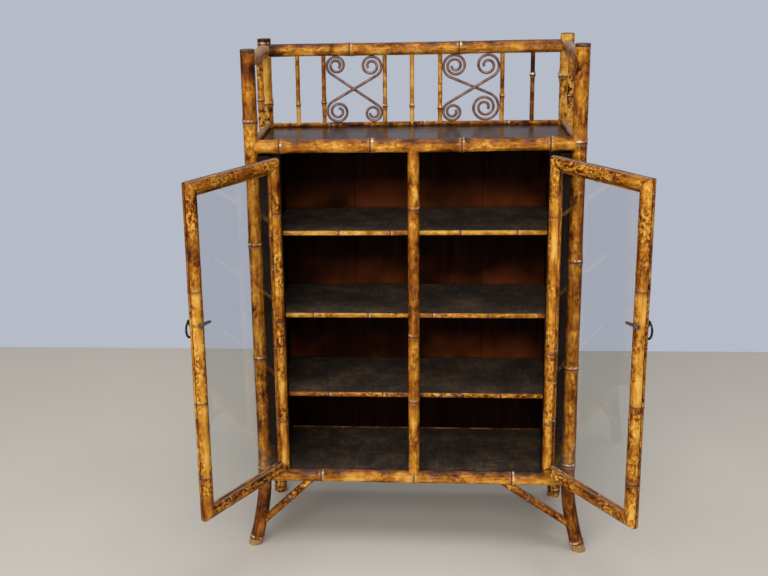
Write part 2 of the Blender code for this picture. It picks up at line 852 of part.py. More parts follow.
def leaf_plate(name, tabs_at_ends, side, location, parent):
    """One leaf's plate, with tabs to its own knuckles and notches round the others."""
    half = hinge_length / 2
    notch = knuckle_radius + gap
    start = hinge_pin_radius
    if tabs_at_ends:
        middle = knuckle_middle_half + gap
        outline = [(start, -half), (hinge_leaf_depth, -half), (hinge_leaf_depth, half), (start, half),
                   (start, middle), (notch, middle), (notch, -middle), (start, -middle)]
    else:
        middle = knuckle_middle_half
        outline = [(notch, -half), (hinge_leaf_depth, -half), (hinge_leaf_depth, half), (notch, half),
                   (notch, middle), (start, middle), (start, -middle), (notch, -middle)]
    shift = Vector((side * (hinge_leaf_play + hinge_leaf_thickness / 2), 0, 0))
    return slab(name, [outline], hinge_leaf_thickness, Vector(location) + shift, upright_lengthwise, parent)


def make_hinge(side_name, level, z, hinge_line):
    """A butt hinge: a fixed leaf with two bored knuckles and a moving leaf with the pin."""
    side = sides[side_name]
    half = hinge_length / 2
    x, y = side * pin_x, pin_y
    fixed = leaf_plate(f"hinge_fixed_{side_name}_{level}", True, side, (x, y, z), None)
    for end in (-1, 1):
        inner = end * (knuckle_middle_half + gap + knuckle_inset)
        outer = end * (half - knuckle_inset)
        join(fixed, rod(f"knuckle_{side_name}_{level}_{end}", (x, y, z + inner), (x, y, z + outer),
                        knuckle_radius, small_sides))
    bore = rod(f"pin_bore_{side_name}_{level}", (x, y, z - half - overrun), (x, y, z + half + overrun),
               hinge_pin_radius + hinge_pin_play, small_sides)
    cut(fixed, as_cutter(bore))
    finish(fixed, "iron")
    moving = leaf_plate(f"hinge_moving_{side_name}_{level}", False, -side, (0, 0, z), hinge_line)
    middle = knuckle_middle_half - knuckle_inset
    join(moving, rod(f"knuckle_{side_name}_{level}", (0, 0, z - middle), (0, 0, z + middle),
                     knuckle_radius, small_sides, hinge_line))
    join(moving, rod(f"pin_{side_name}_{level}", (0, 0, z - half - hinge_pin_tip),
                     (0, 0, z + half + hinge_pin_tip), hinge_pin_radius, small_sides, hinge_line))
    finish(moving, "iron")


# Latches

def turned(name, profile, parent):
    """A solid turned about its own axis from a profile of (radius, height), top to bottom."""
    mesh = bpy.data.meshes.new(name)
    mesh.from_pydata([(radius, 0, height) for radius, height in profile],
                     [(step, step + 1) for step in range(len(profile) - 1)], [])
    made = place(bpy.data.objects.new(name, mesh), parent=parent)
    screw = made.modifiers.new("turn", "SCREW")
    screw.steps = small_sides
    screw.render_steps = small_sides
    screw.use_merge_vertices = True
    screw.merge_threshold = weld_distance
    return made


def make_latch(side_name, hinge_line):
    """A spindle through the free bar, with a rose and an eye outside and a tongue inside."""
    inward = -sides[side_name]
    axis = pivot(f"latch_axis_{side_name}", (inward * door_free_axis, door_mid, latch_height), 0, hinge_line)
    rose_back = door_bar_radius + gap
    profile = [
        (0, rose_front), (rose_radius - rose_thickness / 2, rose_front),
        (rose_radius, rose_front - rose_thickness / 2), (rose_radius, rose_back),
        (latch_spindle_radius, rose_back), (latch_spindle_radius, -tongue_front),
        (boss_radius, -tongue_front), (boss_radius, -tongue_back - boss_thickness),
        (0, -tongue_back - boss_thickness),
    ]
    latch = turned(f"latch_{side_name}", profile, axis)
    latch.rotation_euler.x = math.radians(90)
    lug_outline = arc((-eye_out, 0), lug_radius, 90, 270, end_arc_steps)
    lug_outline += [(-rose_front + lug_embed, -lug_radius), (-rose_front + lug_embed, lug_radius)]
    lug = slab(f"lug_{side_name}", [lug_outline], lug_thickness, (0, 0, 0), upright_lengthwise, axis)
    tip = -inward * (tongue_reach - tongue_half_width)
    tip_start = 90 if tip < 0 else -90
    tail = inward * (tongue_tail - tongue_half_width)
    tongue_outline = arc((tip, 0), tongue_half_width, tip_start, tip_start + 180, end_arc_steps)
    tongue_outline += arc((tail, 0), tongue_half_width, tip_start + 180, tip_start + 360, end_arc_steps)
    tongue = slab(f"tongue_{side_name}", [tongue_outline], tongue_thickness,
                  (0, (tongue_front + tongue_back) / 2, 0), upright_across, axis)
    join(latch, lug, tongue)
    eye = rod(f"eye_{side_name}", (-lug_thickness, -eye_out, 0), (lug_thickness, -eye_out, 0),
              drop_wire_radius + drop_wire_play, small_sides, axis)
    cut(latch, as_cutter(eye))
    finish(latch, "iron")
    make_drop(side_name, axis)


def make_drop(side_name, latch_axis):
    """An oval wire ring whose straight top runs through the latch's eye."""
    axis = pivot(f"drop_axis_{side_name}", (0, -eye_out, 0), 0, latch_axis)
    top_half = lug_thickness / 2 + drop_wire_radius + drop_side_play
    first = math.asin(top_half / drop_half_width)
    half_height = drop_length / (1 + math.cos(first))
    points = []
    for step in range(drop_steps + 1):
        angle = first + (2 * math.pi - 2 * first) * step / drop_steps
        x = drop_half_width * math.sin(angle)
        z = half_height * (math.cos(angle) - math.cos(first))
        points.append((x, 0, z))
    made = tube(f"handle_drop_{side_name}", points, [drop_wire_radius] * len(points), wire_resolution,
                parent=axis, closed=True)
    finish(made, "iron")


def make_door(side_name):
    """A whole door on its hinge line, standing open."""
    side = sides[side_name]
    turn = side * math.radians(door_rest_angles[side_name])
    hinge_line = pivot(f"door_pivot_{side_name}", (side * pin_x, pin_y, 0), turn)
    make_door_frame(side_name, hinge_line)
    make_glass(side_name, hinge_line)
    make_hinge(side_name, "upper", door_top - hinge_inset, hinge_line)
    make_hinge(side_name, "lower", door_bottom + hinge_inset, hinge_line)
    make_latch(side_name, hinge_line)


make_poles()
make_braces()
make_spindles()
make_scrolls()
make_boards()
make_shelves()
for door_side in sides:
    make_side_board(door_side)
    make_door(door_side)
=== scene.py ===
"""Dresses the bamboo display cabinet: its canes with their nodes, the scrolled gallery, the
mitred door frames, the latches and the finishes of the case.

Units are metres and +Z is up. The front faces -Y.
"""

import math
import random

import bmesh
import bpy
from mathutils import Matrix, Vector, noise


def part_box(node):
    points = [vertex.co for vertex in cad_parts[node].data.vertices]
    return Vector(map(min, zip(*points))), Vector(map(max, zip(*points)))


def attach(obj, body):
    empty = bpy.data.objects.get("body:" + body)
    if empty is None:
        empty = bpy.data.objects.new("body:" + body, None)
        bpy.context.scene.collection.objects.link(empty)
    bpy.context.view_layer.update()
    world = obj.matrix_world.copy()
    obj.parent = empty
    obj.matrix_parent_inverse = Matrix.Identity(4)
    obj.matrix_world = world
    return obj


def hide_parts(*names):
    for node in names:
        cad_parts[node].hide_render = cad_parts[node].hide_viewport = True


bl_info = {
    "name": "Bamboo cabinet",
    "version": (1, 0, 0),
    "blender": (4, 5, 0),
    "location": "3D View > Sidebar > Cabinet",
    "description": "Dresses a glazed bamboo cabinet with its canes, doors, latches and finishes",
    "category": "Object",
}

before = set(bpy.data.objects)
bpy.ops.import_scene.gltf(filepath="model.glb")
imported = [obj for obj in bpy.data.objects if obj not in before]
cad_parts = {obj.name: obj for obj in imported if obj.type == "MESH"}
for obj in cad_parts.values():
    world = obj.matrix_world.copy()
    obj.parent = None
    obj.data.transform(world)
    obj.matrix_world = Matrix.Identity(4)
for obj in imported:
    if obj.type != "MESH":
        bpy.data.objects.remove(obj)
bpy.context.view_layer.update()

# Places that the solids share with this file
sides = {"left": -1, "right": 1}
up = Vector((0, 0, 1))
front = Vector((0, -1, 0))
post_x = 0.340
post_radius = 0.015
back_y = 0.254
bottom_rail_z = 0.1695
top_rail_z = 0.920
shelf_tops = [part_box("shelf_" + level)[1].z for level in ("lower", "middle", "upper")]
# A front post splays below this height: how far out and forward it goes, and how sharply
splay_start = 0.150
splay_out = 0.027
splay_forward = 0.008
splay_power = 1.5
# A rail's cane ends inside the post, this far short of the post's middle line
rail_tuck = 0.008

# Profile of a bamboo node along a cane of this radius: distance from the node and share of the
# full rise. The scar is a shallow groove between two soft lips, the higher one beyond it.
node_radius = 0.0135
node_profile = (
    (-0.016, 0), (-0.006, 0.35), (-0.0028, 0.75), (-0.0018, 0.85), (-0.0008, 0.5), (0.0008, 0.45),
    (0.0019, 0.9), (0.0034, 1), (0.0055, 0.75), (0.009, 0.3), (0.018, 0),
)
# How far from a node a skin still takes note of it, and a place where none matters
node_reach = 0.03
unmarked = (node_reach, 1, 0.5)
# A cane wanders freely this far from its ends
waver_ramp = 0.05
# How often a cane wanders and swells to the metre, and how far it swells
wander_rate, swell_rate, swell_share = 5, 14, 0.03
# How much tone a flank's painted shade can add
most_flank_painted_shade = 0.45
# Edges that turn more than this stay sharp
sharp_angle = math.radians(38)


def linear(code):
    """Linear colour of an sRGB hex code."""
    values = [int(code[place:place + 2], 16) / 255 for place in (1, 3, 5)]
    return tuple(v / 12.92 if v <= 0.04045 else ((v + 0.055) / 1.055) ** 2.4 for v in values)


class CabinetSizes(bpy.types.PropertyGroup):
    """Sizes of the canes' detail."""

    node_rise: bpy.props.FloatProperty(
        name="Node rise", description="How far a node stands proud of a thick cane",
        default=0.0013, min=0, max=0.003, unit="LENGTH")
    waver: bpy.props.FloatProperty(
        name="Waver", description="How far a cane wanders from its straight line",
        default=0.0006, min=0, max=0.003, unit="LENGTH")
    seam: bpy.props.FloatProperty(
        name="Door bar seam",
        description="Thickness of the dark core between a door bar's two half canes",
        default=0.003, min=0.001, max=0.006, unit="LENGTH")
    mitre_gap: bpy.props.FloatProperty(
        name="Mitre gap", description="Open joint between two mitred bars",
        default=0.0004, min=0, max=0.002, unit="LENGTH")


def colour_setting(name, description, code):
    """A colour to choose, with an sRGB hex code as its default."""
    return bpy.props.FloatVectorProperty(
        name=name, description=description, default=linear(code), size=3, min=0, max=1,
        subtype="COLOR")


class CabinetColours(bpy.types.PropertyGroup):
    """Colours of the finishes that show most."""

    straw: colour_setting("Straw", "Bamboo at its palest", "#E4B058")
    gold: colour_setting("Gold", "Bamboo where the scorching left it clean", "#CC9030")
    amber: colour_setting("Amber", "Bamboo lightly scorched", "#A8691C")
    burn: colour_setting("Burn", "Bamboo well scorched", "#723A0E")
    char: colour_setting("Char", "The darkest scorch marks", "#2E1404")
    wall: colour_setting("Backdrop", "Colour seen beyond the floor", "#B6BBC8")
    floor: colour_setting("Floor", "Colour of the studio floor", "#D2CEC7")


# Canes

def new_work():
    """An empty mesh in work.

    Grain is a vertex's place on its straightened cane. Culm is its distance from the nearest
    node, 1 beyond that node or -1 before it, and its tone, which on the door bars also carries
    painted shade on their flanks.
    """
    work = bmesh.new()
    work.verts.layers.float_vector.new("grain")
    work.verts.layers.float_vector.new("culm")
    return work


def whole_round(work, count=26):
    """The section of a whole cane of unit radius."""
    return bmesh.ops.create_circle(work, segments=count, radius=1)["verts"]


def half_round(work, count, height=1.0, lift=0.0):
    """The section of a split cane: an arch on its flat side, raised from the middle line."""
    made = whole_round(work, count)
    edges = list({edge for vert in made for edge in vert.link_edges})
    cut = bmesh.ops.bisect_plane(work, geom=made + edges, dist=0.0001, plane_co=(0, 0, 0),
                                 plane_no=(0, -1, 0), clear_outer=True)["geom_cut"]
    ends = [item for item in cut if isinstance(item, bmesh.types.BMVert)]
    kept = list({vert for vert in made if vert.is_valid} | set(ends))
    bmesh.ops.contextual_create(work, geom=ends)
    bmesh.ops.scale(work, vec=(1, height, 1), verts=kept)
    move(work, kept, 0, lift, 0)
    return kept


def strip(work, half_width, half_height):
    """The section of a thin flat strip."""
    made = bmesh.ops.create_circle(work, segments=4, radius=math.sqrt(2))["verts"]
    bmesh.ops.rotate(work, matrix=Matrix.Rotation(math.radians(45), 3, "Z"), verts=made)
    bmesh.ops.scale(work, vec=(half_width, half_height, 1), verts=made)
    return made


def stand(point, along, reference):
    """Matrix that sets a flat section square across a path at a point."""
    level = (reference - along * reference.dot(along)).normalized()
    across = level.cross(along)
    return Matrix.Translation(point) @ Matrix((across, level, along)).transposed().to_4x4()


def sweep(work, section, stations, reference, offset=0.0, closed=False, painted_shade_flank=(0, 0)):
    """Draws a section along stations of (point, radius, along, culm), and closes its ends.

    As painted shade, the tone rises away from the flank's place across the section, at the
    flank's rate. Gives back the two end faces, or none for a closed ring.
    """
    grain = work.verts.layers.float_vector["grain"]
    culm = work.verts.layers.float_vector["culm"]
    points = [station[0] for station in stations]
    nominal = stations[0][1]
    rings = []
    verts = section
    edges = list({edge for vert in verts for edge in vert.link_edges})
    carried = Matrix.Identity(4)
    for index, (point, radius, along, mark) in enumerate(stations):
        before = points[index - 1] if index or closed else point
        after = points[(index + 1) % len(points)] if index < len(points) - 1 or closed else point
        square = stand(point, (after - before).normalized(), reference)
        target = square @ Matrix.Diagonal((radius, radius, 1, 1))
        if index:
            made = bmesh.ops.extrude_edge_only(work, edges=edges)["geom"]
            verts = [item for item in made if isinstance(item, bmesh.types.BMVert)]
            fresh = set(verts)
            edges = [item for item in made if isinstance(item, bmesh.types.BMEdge)
                     and item.verts[0] in fresh and item.verts[1] in fresh]
        bmesh.ops.transform(work, matrix=target @ carried.inverted(), verts=verts)
        carried = target
        back = target.inverted()
        for vert in verts:
            local = back @ vert.co
            vert[grain] = (local.x * nominal, local.y * nominal, along + offset)
            # Painted shade: darker away from the flank's place across the section
            flank_painted_shade = min(most_flank_painted_shade, painted_shade_flank[1] * (local.x - painted_shade_flank[0]) ** 2)
            vert[culm] = (*mark[:2], mark[2] + flank_painted_shade)
        rings.append(edges)
    if closed:
        bmesh.ops.bridge_loops(work, edges=rings[0] + rings[-1])
        return []
    return [bmesh.ops.edgeloop_fill(work, edges=ring)["faces"][0] for ring in (rings[0], rings[-1])]


def plan(length, nodes, rises, radius, step):
    """Places along a cane where its section is set, each with its share of a node's rise."""
    scale = math.sqrt(radius / node_radius)
    places = {0.0: 0.0, length: 0.0}
    reach = node_profile[-1][0] * scale
    count = max(2, round(length / step))
    for index in range(1, count):
        place = length * index / count
        if all(abs(place - node) > reach for node in nodes):
            places[place] = 0.0
    for node, rise in zip(nodes, rises):
        for offset, share in node_profile:
            place = node + offset * scale
            if 0 < place < length:
                places[place] = share * rise
    return sorted(places.items())


def cane(work, section, line, length, radius, nodes, reference, seed, tones=(), rises=(),
         step=0.022, rise=1.0, waver=1.0, marks=(), painted_shade_flank=(0, 0)):
    """Draws one bamboo cane along a line, which gives the point at any distance along it.

    A cane wanders and swells a little, has a ridge at each node, and changes tone there.
    Tones run from 0, clean gold, to 1, well scorched, for each stretch between nodes. Marks
    are patches of (place, spread, change of tone).
    """
    sizes = bpy.context.scene.cabinet_sizes
    chance = random.Random(seed)
    offset = chance.uniform(0, 40)
    shades = tones or [chance.uniform(0.2, 0.7) for _ in range(len(nodes) + 1)]
    stations = []
    for along, share in plan(length, nodes, rises or [1] * len(nodes), radius, step):
        ahead = line(min(along + 0.001, length)) - line(max(along - 0.001, 0))
        square = stand(line(along), ahead.normalized(), reference)
        loose = min(1, along / waver_ramp, (length - along) / waver_ramp) * sizes.waver * waver
        aside = [noise.noise(Vector((along * wander_rate, offset, turn))) * loose * 2
                 for turn in (3.1, 8.7)]
        swell = 1 + swell_share * noise.noise(Vector((along * swell_rate, offset, 5.3)))
        proud = sizes.node_rise * rise * share * math.sqrt(radius / node_radius)
        nearest = min(nodes, key=lambda node: abs(along - node), default=-1)
        tone = shades[sum(1 for node in nodes if node < along)]
        for place, spread, change in marks:
            tone += change * math.exp(-((along - place) / spread) ** 2)
        mark = (min(abs(along - nearest), node_reach), 1 if along > nearest else -1, tone)
        stations.append((square @ Vector((*aside, 0)), radius * swell + proud, along, mark))
    return sweep(work, section, stations, reference, offset, painted_shade_flank=painted_shade_flank)


def straight(start, end):
    """The line between two points, and its length."""
    start, end = Vector(start), Vector(end)
    length = (end - start).length
    return (lambda along: start + (end - start) * (along / length)), length


def hollow(work, face):
    """Opens a cut end: the wall is left standing round a sunk middle."""
    wall, depth = 0.0035, 0.012
    outward = face.normal.copy()
    inner = bmesh.ops.inset_region(work, faces=[face], thickness=wall,
                                   use_even_offset=True)["faces"]
    sunk = bmesh.ops.extrude_discrete_faces(work, faces=[face])["faces"]
    move(work, sunk[0].verts[:], *(outward * -depth))
    sides_of_hole = [item for edge in sunk[0].edges for item in edge.link_faces]
    for item in inner + sunk + sides_of_hole:
        item.material_index = 1


def cut_off(work, point, outward, parts=None):
    """Cuts off what lies beyond a plane, and gives back the edges left open there."""
    parts = parts or [*work.verts, *work.edges, *work.faces]
    cut = bmesh.ops.bisect_plane(work, geom=parts, dist=0.00001, plane_co=point, plane_no=outward,
                                 clear_outer=True)["geom_cut"]
    return [item for item in cut if isinstance(item, bmesh.types.BMEdge)]


def move(work, verts, *by):
    """Moves vertices by a distance along each axis."""
    bmesh.ops.translate(work, vec=by, verts=verts)


def soften(work, verts, axis, width, segments):
    """Rounds those edges at these vertices that lie square to an axis."""
    edges = {edge for vert in verts for edge in vert.link_edges}
    square = [edge for edge in edges
              if abs(edge.verts[0].co[axis] - edge.verts[1].co[axis]) < 0.0001]
    bmesh.ops.bevel(work, geom=square, offset=width, offset_type="OFFSET", segments=segments,
                    profile=0.5, affect="EDGES", material=-1)


def finish_piece(work, name, kinds, body, nodes=(), matrix=None):
    """Turns a mesh in work into a piece that rides on a body and stands for CAD nodes.

    Its kinds are its finishes, in the order of its faces' material numbers.
    """
    if matrix is not None:
        bmesh.ops.transform(work, matrix=matrix, verts=work.verts[:])
    bmesh.ops.recalc_face_normals(work, faces=work.faces[:])
    mesh = bpy.data.meshes.new(name)
    work.to_mesh(mesh)
    work.free()
    mesh.shade_smooth()
    mesh.set_sharp_from_angle(angle=sharp_angle)
    for kind in kinds:
        mesh.materials.append(finish(kind))
    piece = bpy.data.objects.new(name, mesh)
    bpy.context.scene.collection.objects.link(piece)
    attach(piece, body)
    if nodes:
        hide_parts(*nodes)


def finish_cane(work, node, *kinds, slot="bamboo"):
    """Turns a cane in work into the piece that stands for its CAD node on the case."""
    finish_piece(work, node + "_cane", kinds, "carcass", [node])


# Materials

def rgb(value):
    """Linear red, green and blue of a colour, an sRGB hex code or a grey level."""
    if isinstance(value, str):
        return linear(value)
    return tuple(value) if hasattr(value, "__len__") else (value,) * 3


def add(tree, kind, inputs=(), stops=(), **settings):
    """Adds a shader node with its settings, and fills or links its inputs by order or by name."""
    made = tree.nodes.new("ShaderNode" + kind)
    for name, value in settings.items():
        setattr(made, name, value)
    for name, value in inputs.items() if isinstance(inputs, dict) else enumerate(inputs):
        socket = made.inputs[name]
        if isinstance(value, bpy.types.Node):
            value = value.outputs[0]
        if isinstance(value, bpy.types.NodeSocket):
            tree.links.new(value, socket)
        else:
            socket.default_value = (*rgb(value), 1) if socket.type == "RGBA" else value
    if stops:
        elements = made.color_ramp.elements
        elements.remove(elements[1])
        elements[0].position = stops[0][0]
        for index, (place, colour) in enumerate(stops):
            element = elements.new(place) if index else elements[0]
            element.color = (*rgb(colour), 1)
    return made


def patterns(tree, *kinds, place=None):
    """Noise patterns over a piece, each from (stretch, scale, detail, distortion, roughness), of
    which the last two may be left out. A scale is how many marks there are to the metre."""
    place = place or add(tree, "TexCoord").outputs["Object"]
    names = "Scale", "Detail", "Distortion", "Roughness"
    return [add(tree, "TexNoise", {
        "Vector": add(tree, "Mapping", {"Vector": place, "Scale": stretch}),
        **dict(zip(names, values))}) for stretch, *values in kinds]


def surface(tree, colour, inputs, relief=()):
    """The lit surface of a finish, with relief of (strength, depth, pattern).

    Its colour is a node's, a hex code, or a pattern with the colours that it runs through.
    """
    if isinstance(colour, tuple):
        pattern, *stops = colour
        colour = add(tree, "ValToRGB", (pattern,), stops)
    if relief:
        inputs["Normal"] = add(tree, "Bump", dict(zip(("Strength", "Distance", "Height"), relief)))
    return add(tree, "BsdfPrincipled", {"Base Color": colour, **inputs})


made_finishes = {}


def finish(kind):
    """The material of a finish, or of a named kind of bamboo, made at its first use."""
    if kind not in made_finishes:
        name = kind.__name__ if callable(kind) else "lacquered_bamboo_" + kind
        material = bpy.data.materials.new(name)
        material.use_nodes = True
        tree = material.node_tree
        tree.nodes.clear()
        shader = kind(tree) if callable(kind) else lacquered_bamboo(tree, kind)
        add(tree, "OutputMaterial", (shader,))
        made_finishes[kind] = material
    return made_finishes[kind]


# A pattern that isn't stretched
even = (1, 1, 1)

# Shift: how far scorching goes overall. Top: how much darker the skin is made on its upper side.
# Rim: how much darker the skin is painted towards its sides, or a rail's top and underside, as
# painted shade where the cane turns away from the front. Drifts, clouds and mottles: how strongly
# each size of mark shows. Fine: how many mottles to the metre. Lips: how pale the nodes' lips are
# made, partly worn and partly a painted highlight. Glints: how glossy the whole lacquer is. Dust:
# how much lies on what faces up.
bamboo_kinds = {
    "pole": (0.13, 2.0, 900, 0.9, 1.0, 0.9, 150, 1.1, 0.30, 0.4),
    "stile": (0.14, 2.0, 1200, 1.0, 1.1, 1.0, 150, 0.5, 0.30, 0.3),
    "speckled": (0.10, 2.0, 900, 0.8, 1.2, 3.0, 140, 1.0, 0.30, 0.4),
    "rail": (0.15, 8.0, 1900, 1.5, 1.1, 0.7, 150, 1.2, 0.45, 0.35),
    "door": (0.12, 2.0, 0, 1.2, 0.4, 1.7, 185, 0.15, 0.25, 0.8),
    "spotted": (0.14, 2.0, 1000, 1.0, 0.8, 1.9, 175, 0.2, 0.25, 1.1),
    "slim": (0.08, 4.0, 7000, 1.0, 1.2, 1.2, 150, 1.2, 0.25, 0.2),
    "edging": (0.05, 0.0, 4500, 1.2, 0.8, 1.5, 150, 0.6, 0.30, 0.2),
    "bead": (0.40, 0.0, 0, 0.8, 0.8, 0.8, 150, 0.5, 0.20, 0.5),
    "dusty": (0.30, 2.0, 0, 0.8, 0.8, 0.8, 150, 0.5, 0.10, 1.5),
}


def lacquered_bamboo(tree, kind):
    """Tortoiseshell bamboo: split or whole canes scorched in blotches, then lacquered.

    The skin shows long fine fibres, stretches of 60 mm that run from straw to brown, scorch
    clouds of 15 mm, mottles of 5 mm that come and go, a dark scar at each node with a lip worn
    pale and carrying a painted highlight, painted shade towards the sides, glints where the lacquer
    is whole, and dust where it faces up.
    """
    colours = bpy.context.scene.cabinet_colours
    shift, top, rim, drifts, clouds, mottles, fine, lip_wear_and_highlight, glints, dust = bamboo_kinds[kind]
    grain, culm = (add(tree, "Attribute", attribute_name=name).outputs["Vector"]
                   for name in ("grain", "culm"))
    across, high, _ = add(tree, "SeparateXYZ", (grain,)).outputs
    reach, beyond, tone = add(tree, "SeparateXYZ", (culm,)).outputs
    # Fibres are 0.3 mm wide in bamboo and drawn at about 1.4 mm, to show at all. Then come slow
    # changes over 60 mm, scorch clouds of 15 mm, streaks of 7 by 50 mm, mottles of 5 mm, and the
    # stretches of 80 mm in which the mottles gather.
    fibre, drift, cloud, streak, spot, gather = patterns(
        tree, ((1, 1, 0.035), 700, 3), (even, 17, 2), ((1, 1, 0.6), 66, 4, 0.3, 0.6),
        ((1, 1, 0.14), 150, 2), ((1, 1, 0.7), fine, 4, 0.35, 0.66), (even, 13, 1, 0.5),
        place=grain)
    # Mottles are few where a stretch is clean, and a pole that is well scorched is smooth again
    strewn = add(tree, "MapRange", (gather, 0.38, 0.60, 0.30, 1.25))
    smooth = 0.85 if kind == "pole" else 1.0
    toned = add(tree, "ValToRGB", (tone,), (
        (0.05, 0.05), (0.35, 1.0), (smooth - 0.15, 1.0), (smooth, 0.4)))
    gathered = add(tree, "Math", (strewn, toned), operation="MULTIPLY")
    # Painted shade: the skin is drawn darker towards the sides seen edge-on from the front, or a
    # rail's top and underside
    edge = high if kind in ("rail", "edging") else across
    aside = add(tree, "Math", (edge, edge), operation="MULTIPLY")
    # Scorching is the sum of the marks, the tone and the fibres, with painted shade towards the
    # section's sides and a darkening towards its upper side
    scorch_and_painted_shade = shift - 0.11
    for pattern, low, far, depth, share in (
            (cloud, 0.30, 0.70, 0.2 * clouds, 1), (drift, 0.30, 0.70, 0.2 * drifts, 1),
            (streak, 0.30, 0.70, 0.16, 1), (spot, 0.32, 0.68, 0.3 * mottles, gathered)):
        marks = add(tree, "MapRange", (pattern, low, far, -depth, depth))
        scorch_and_painted_shade = add(tree, "Math", (marks, share, scorch_and_painted_shade), operation="MULTIPLY_ADD")
    for part, share in ((aside, rim), (high, top), (tone, 0.6), (fibre, 0.22)):
        scorch_and_painted_shade = add(tree, "Math", (part, share, scorch_and_painted_shade), operation="MULTIPLY_ADD")
    skin = add(tree, "ValToRGB", (scorch_and_painted_shade,), (
        (0.0, colours.straw), (0.22, colours.gold), (0.46, colours.amber),
        (0.74, colours.burn), (1.0, colours.char)))
    # Distance to the nearest node, a little uneven round the cane
    ragged = add(tree, "Math", (spot, 0.0016, reach), operation="MULTIPLY_ADD")
    from_node = add(tree, "Math", (ragged, -0.0008), operation="ADD")
    # A burnt shade spreads 8 mm from each node, mostly before it
    before = add(tree, "MapRange", (beyond, -1, 1, 0.65, 0.2))
    spread = add(tree, "MapRange", (from_node, 0.002, 0.010, 1, 0))
    shade = add(tree, "Math", (before, spread), operation="MULTIPLY")
    # A node's lip is drawn pale in places, mostly beyond the scar and on the cane's upper side:
    # partly worn lacquer and partly a painted highlight where the light catches the ridge
    centimetres = add(tree, "Math", (from_node, 100), operation="MULTIPLY")
    lip = worn_lip_and_painted_highlight = add(tree, "ValToRGB", (centimetres,), (
        (0.10, 0.0), (0.22, 1.0), (0.44, 0.9), (0.72, 0.0)))
    for source, low, far, least, most in (
            (streak, 0.48, 0.62, 0.05 * lip_wear_and_highlight, 0.9 * lip_wear_and_highlight), (beyond, -1, 1, 0.2, 1.0),
            (high, -0.006, 0.005, 0.1, 1.0)):
        rubbed = add(tree, "MapRange", (source, low, far, least, most))
        worn_lip_and_painted_highlight = add(tree, "Math", (worn_lip_and_painted_highlight, rubbed), operation="MULTIPLY")
    # The scar itself is dark brown and fades out 2 mm from the node
    scar = add(tree, "MapRange", (from_node, 0.0006, 0.0022, 0.75 if lip_wear_and_highlight > 0.5 else 0.5, 0))
    # Dust lies on what faces up, and shows between the fibres
    upward = add(tree, "SeparateXYZ", (add(tree, "NewGeometry").outputs["Normal"],)).outputs[2]
    settled = add(tree, "MapRange", (upward, 0.0 if kind == "dusty" else 0.7, 0.98, 0, dust))
    fibrous = add(tree, "MapRange", (fibre, 0.35, 0.62, 0.25, 0.75))
    film = add(tree, "Math", (settled, fibrous), operation="MULTIPLY")
    # The lips' pale colour is partly wear and partly a painted highlight
    for mask, colour in ((shade, colours.burn), (worn_lip_and_painted_highlight, "#F2D2B0"), (scar, "#2E160A"),
                         (film, "#A08B78")):
        skin = add(tree, "Mix", {0: mask, 6: skin, 7: colour}, data_type="RGBA").outputs[2]
    # The lacquer is whole on the lips and in streaks, and dull between them and under dust
    glint = add(tree, "MapRange", (streak, 0.50, 0.68, 0.0, glints))
    whole = add(tree, "Math", (lip, 0.6, glint), operation="MULTIPLY_ADD")
    gloss = add(tree, "MapRange", (cloud, 0.3, 0.7, 0.28, 0.46))
    dulled = add(tree, "Math", (film, 0.5, gloss), operation="MULTIPLY_ADD")
    return surface(tree, skin, {
        "Roughness": dulled, "Specular IOR Level": 0.08, "Coat Weight": whole,
        "Coat Roughness": 0.13}, (0.35, 0.0004, fibre))


def bare_cane(tree):
    """Bamboo with its lacquer worn off: matt, pale tan, with fibres drawn 1 mm wide to show."""
    grain = add(tree, "Attribute", attribute_name="grain").outputs["Vector"]
    fibre, = patterns(tree, ((1, 1, 0.06), 900, 3), place=grain)
    return surface(tree, (fibre, (0.3, "#7C5830"), (0.5, "#A9824C"), (0.75, "#C6A26A")),
                   {"Roughness": 0.55}, (0.4, 0.0004, fibre))


def sawn_bamboo_end(tree):
    """End grain of a sawn bamboo pole: brown with dark pores of 1 mm, and grimy."""
    place = add(tree, "TexCoord").outputs["Object"]
    pore = add(tree, "TexVoronoi", {"Vector": place, "Scale": 900})
    return surface(tree, (pore, (0.1, "#2A1A0E"), (0.5, "#5E432A"), (0.9, "#7A5A38")),
                   {"Roughness": 0.8})


def stained_plug(tree):
    """Turned hardwood plug, stained near black and rubbed at the rim in patches of 6 mm."""
    cloud, = patterns(tree, (even, 160, 4))
    return surface(tree, (cloud, (0.35, "#2A1C12"), (0.55, "#4E3622"), (0.75, "#7A5A3A")),
                   {"Roughness": 0.5}, (0.3, 0.0005, cloud))


def stained_core(tree):
    """Softwood core behind the split canes, stained dark, with spots of dirt in the seam."""
    cloud, = patterns(tree, (even, 220, 3))
    return surface(tree, (cloud, (0.35, "#120A06"), (0.7, "#38200F")), {"Roughness": 0.7})


def bent_cane(tree):
    """Rattan core bent by steam and varnished: dull brown-grey with a dark, rubbed edge.

    Its fibres are drawn 1.2 mm wide to show, and the rubbing comes and goes over 17 mm.
    """
    grain = add(tree, "Attribute", attribute_name="grain").outputs["Vector"]
    fibre, cloud = patterns(tree, ((1, 1, 0.09), 800, 3), (even, 60, 3), place=grain)
    half = add(tree, "Math", (cloud, 0.5), operation="MULTIPLY")
    mixed = add(tree, "Math", (fibre, 0.5, half), operation="MULTIPLY_ADD")
    colours = (0.36, "#35211B"), (0.47, "#644338"), (0.57, "#8A6655"), (0.70, "#B0917F")
    return surface(tree, (mixed, *colours), {"Roughness": 0.38, "Coat Weight": 0.25,
                                             "Coat Roughness": 0.2}, (0.4, 0.0003, fibre))


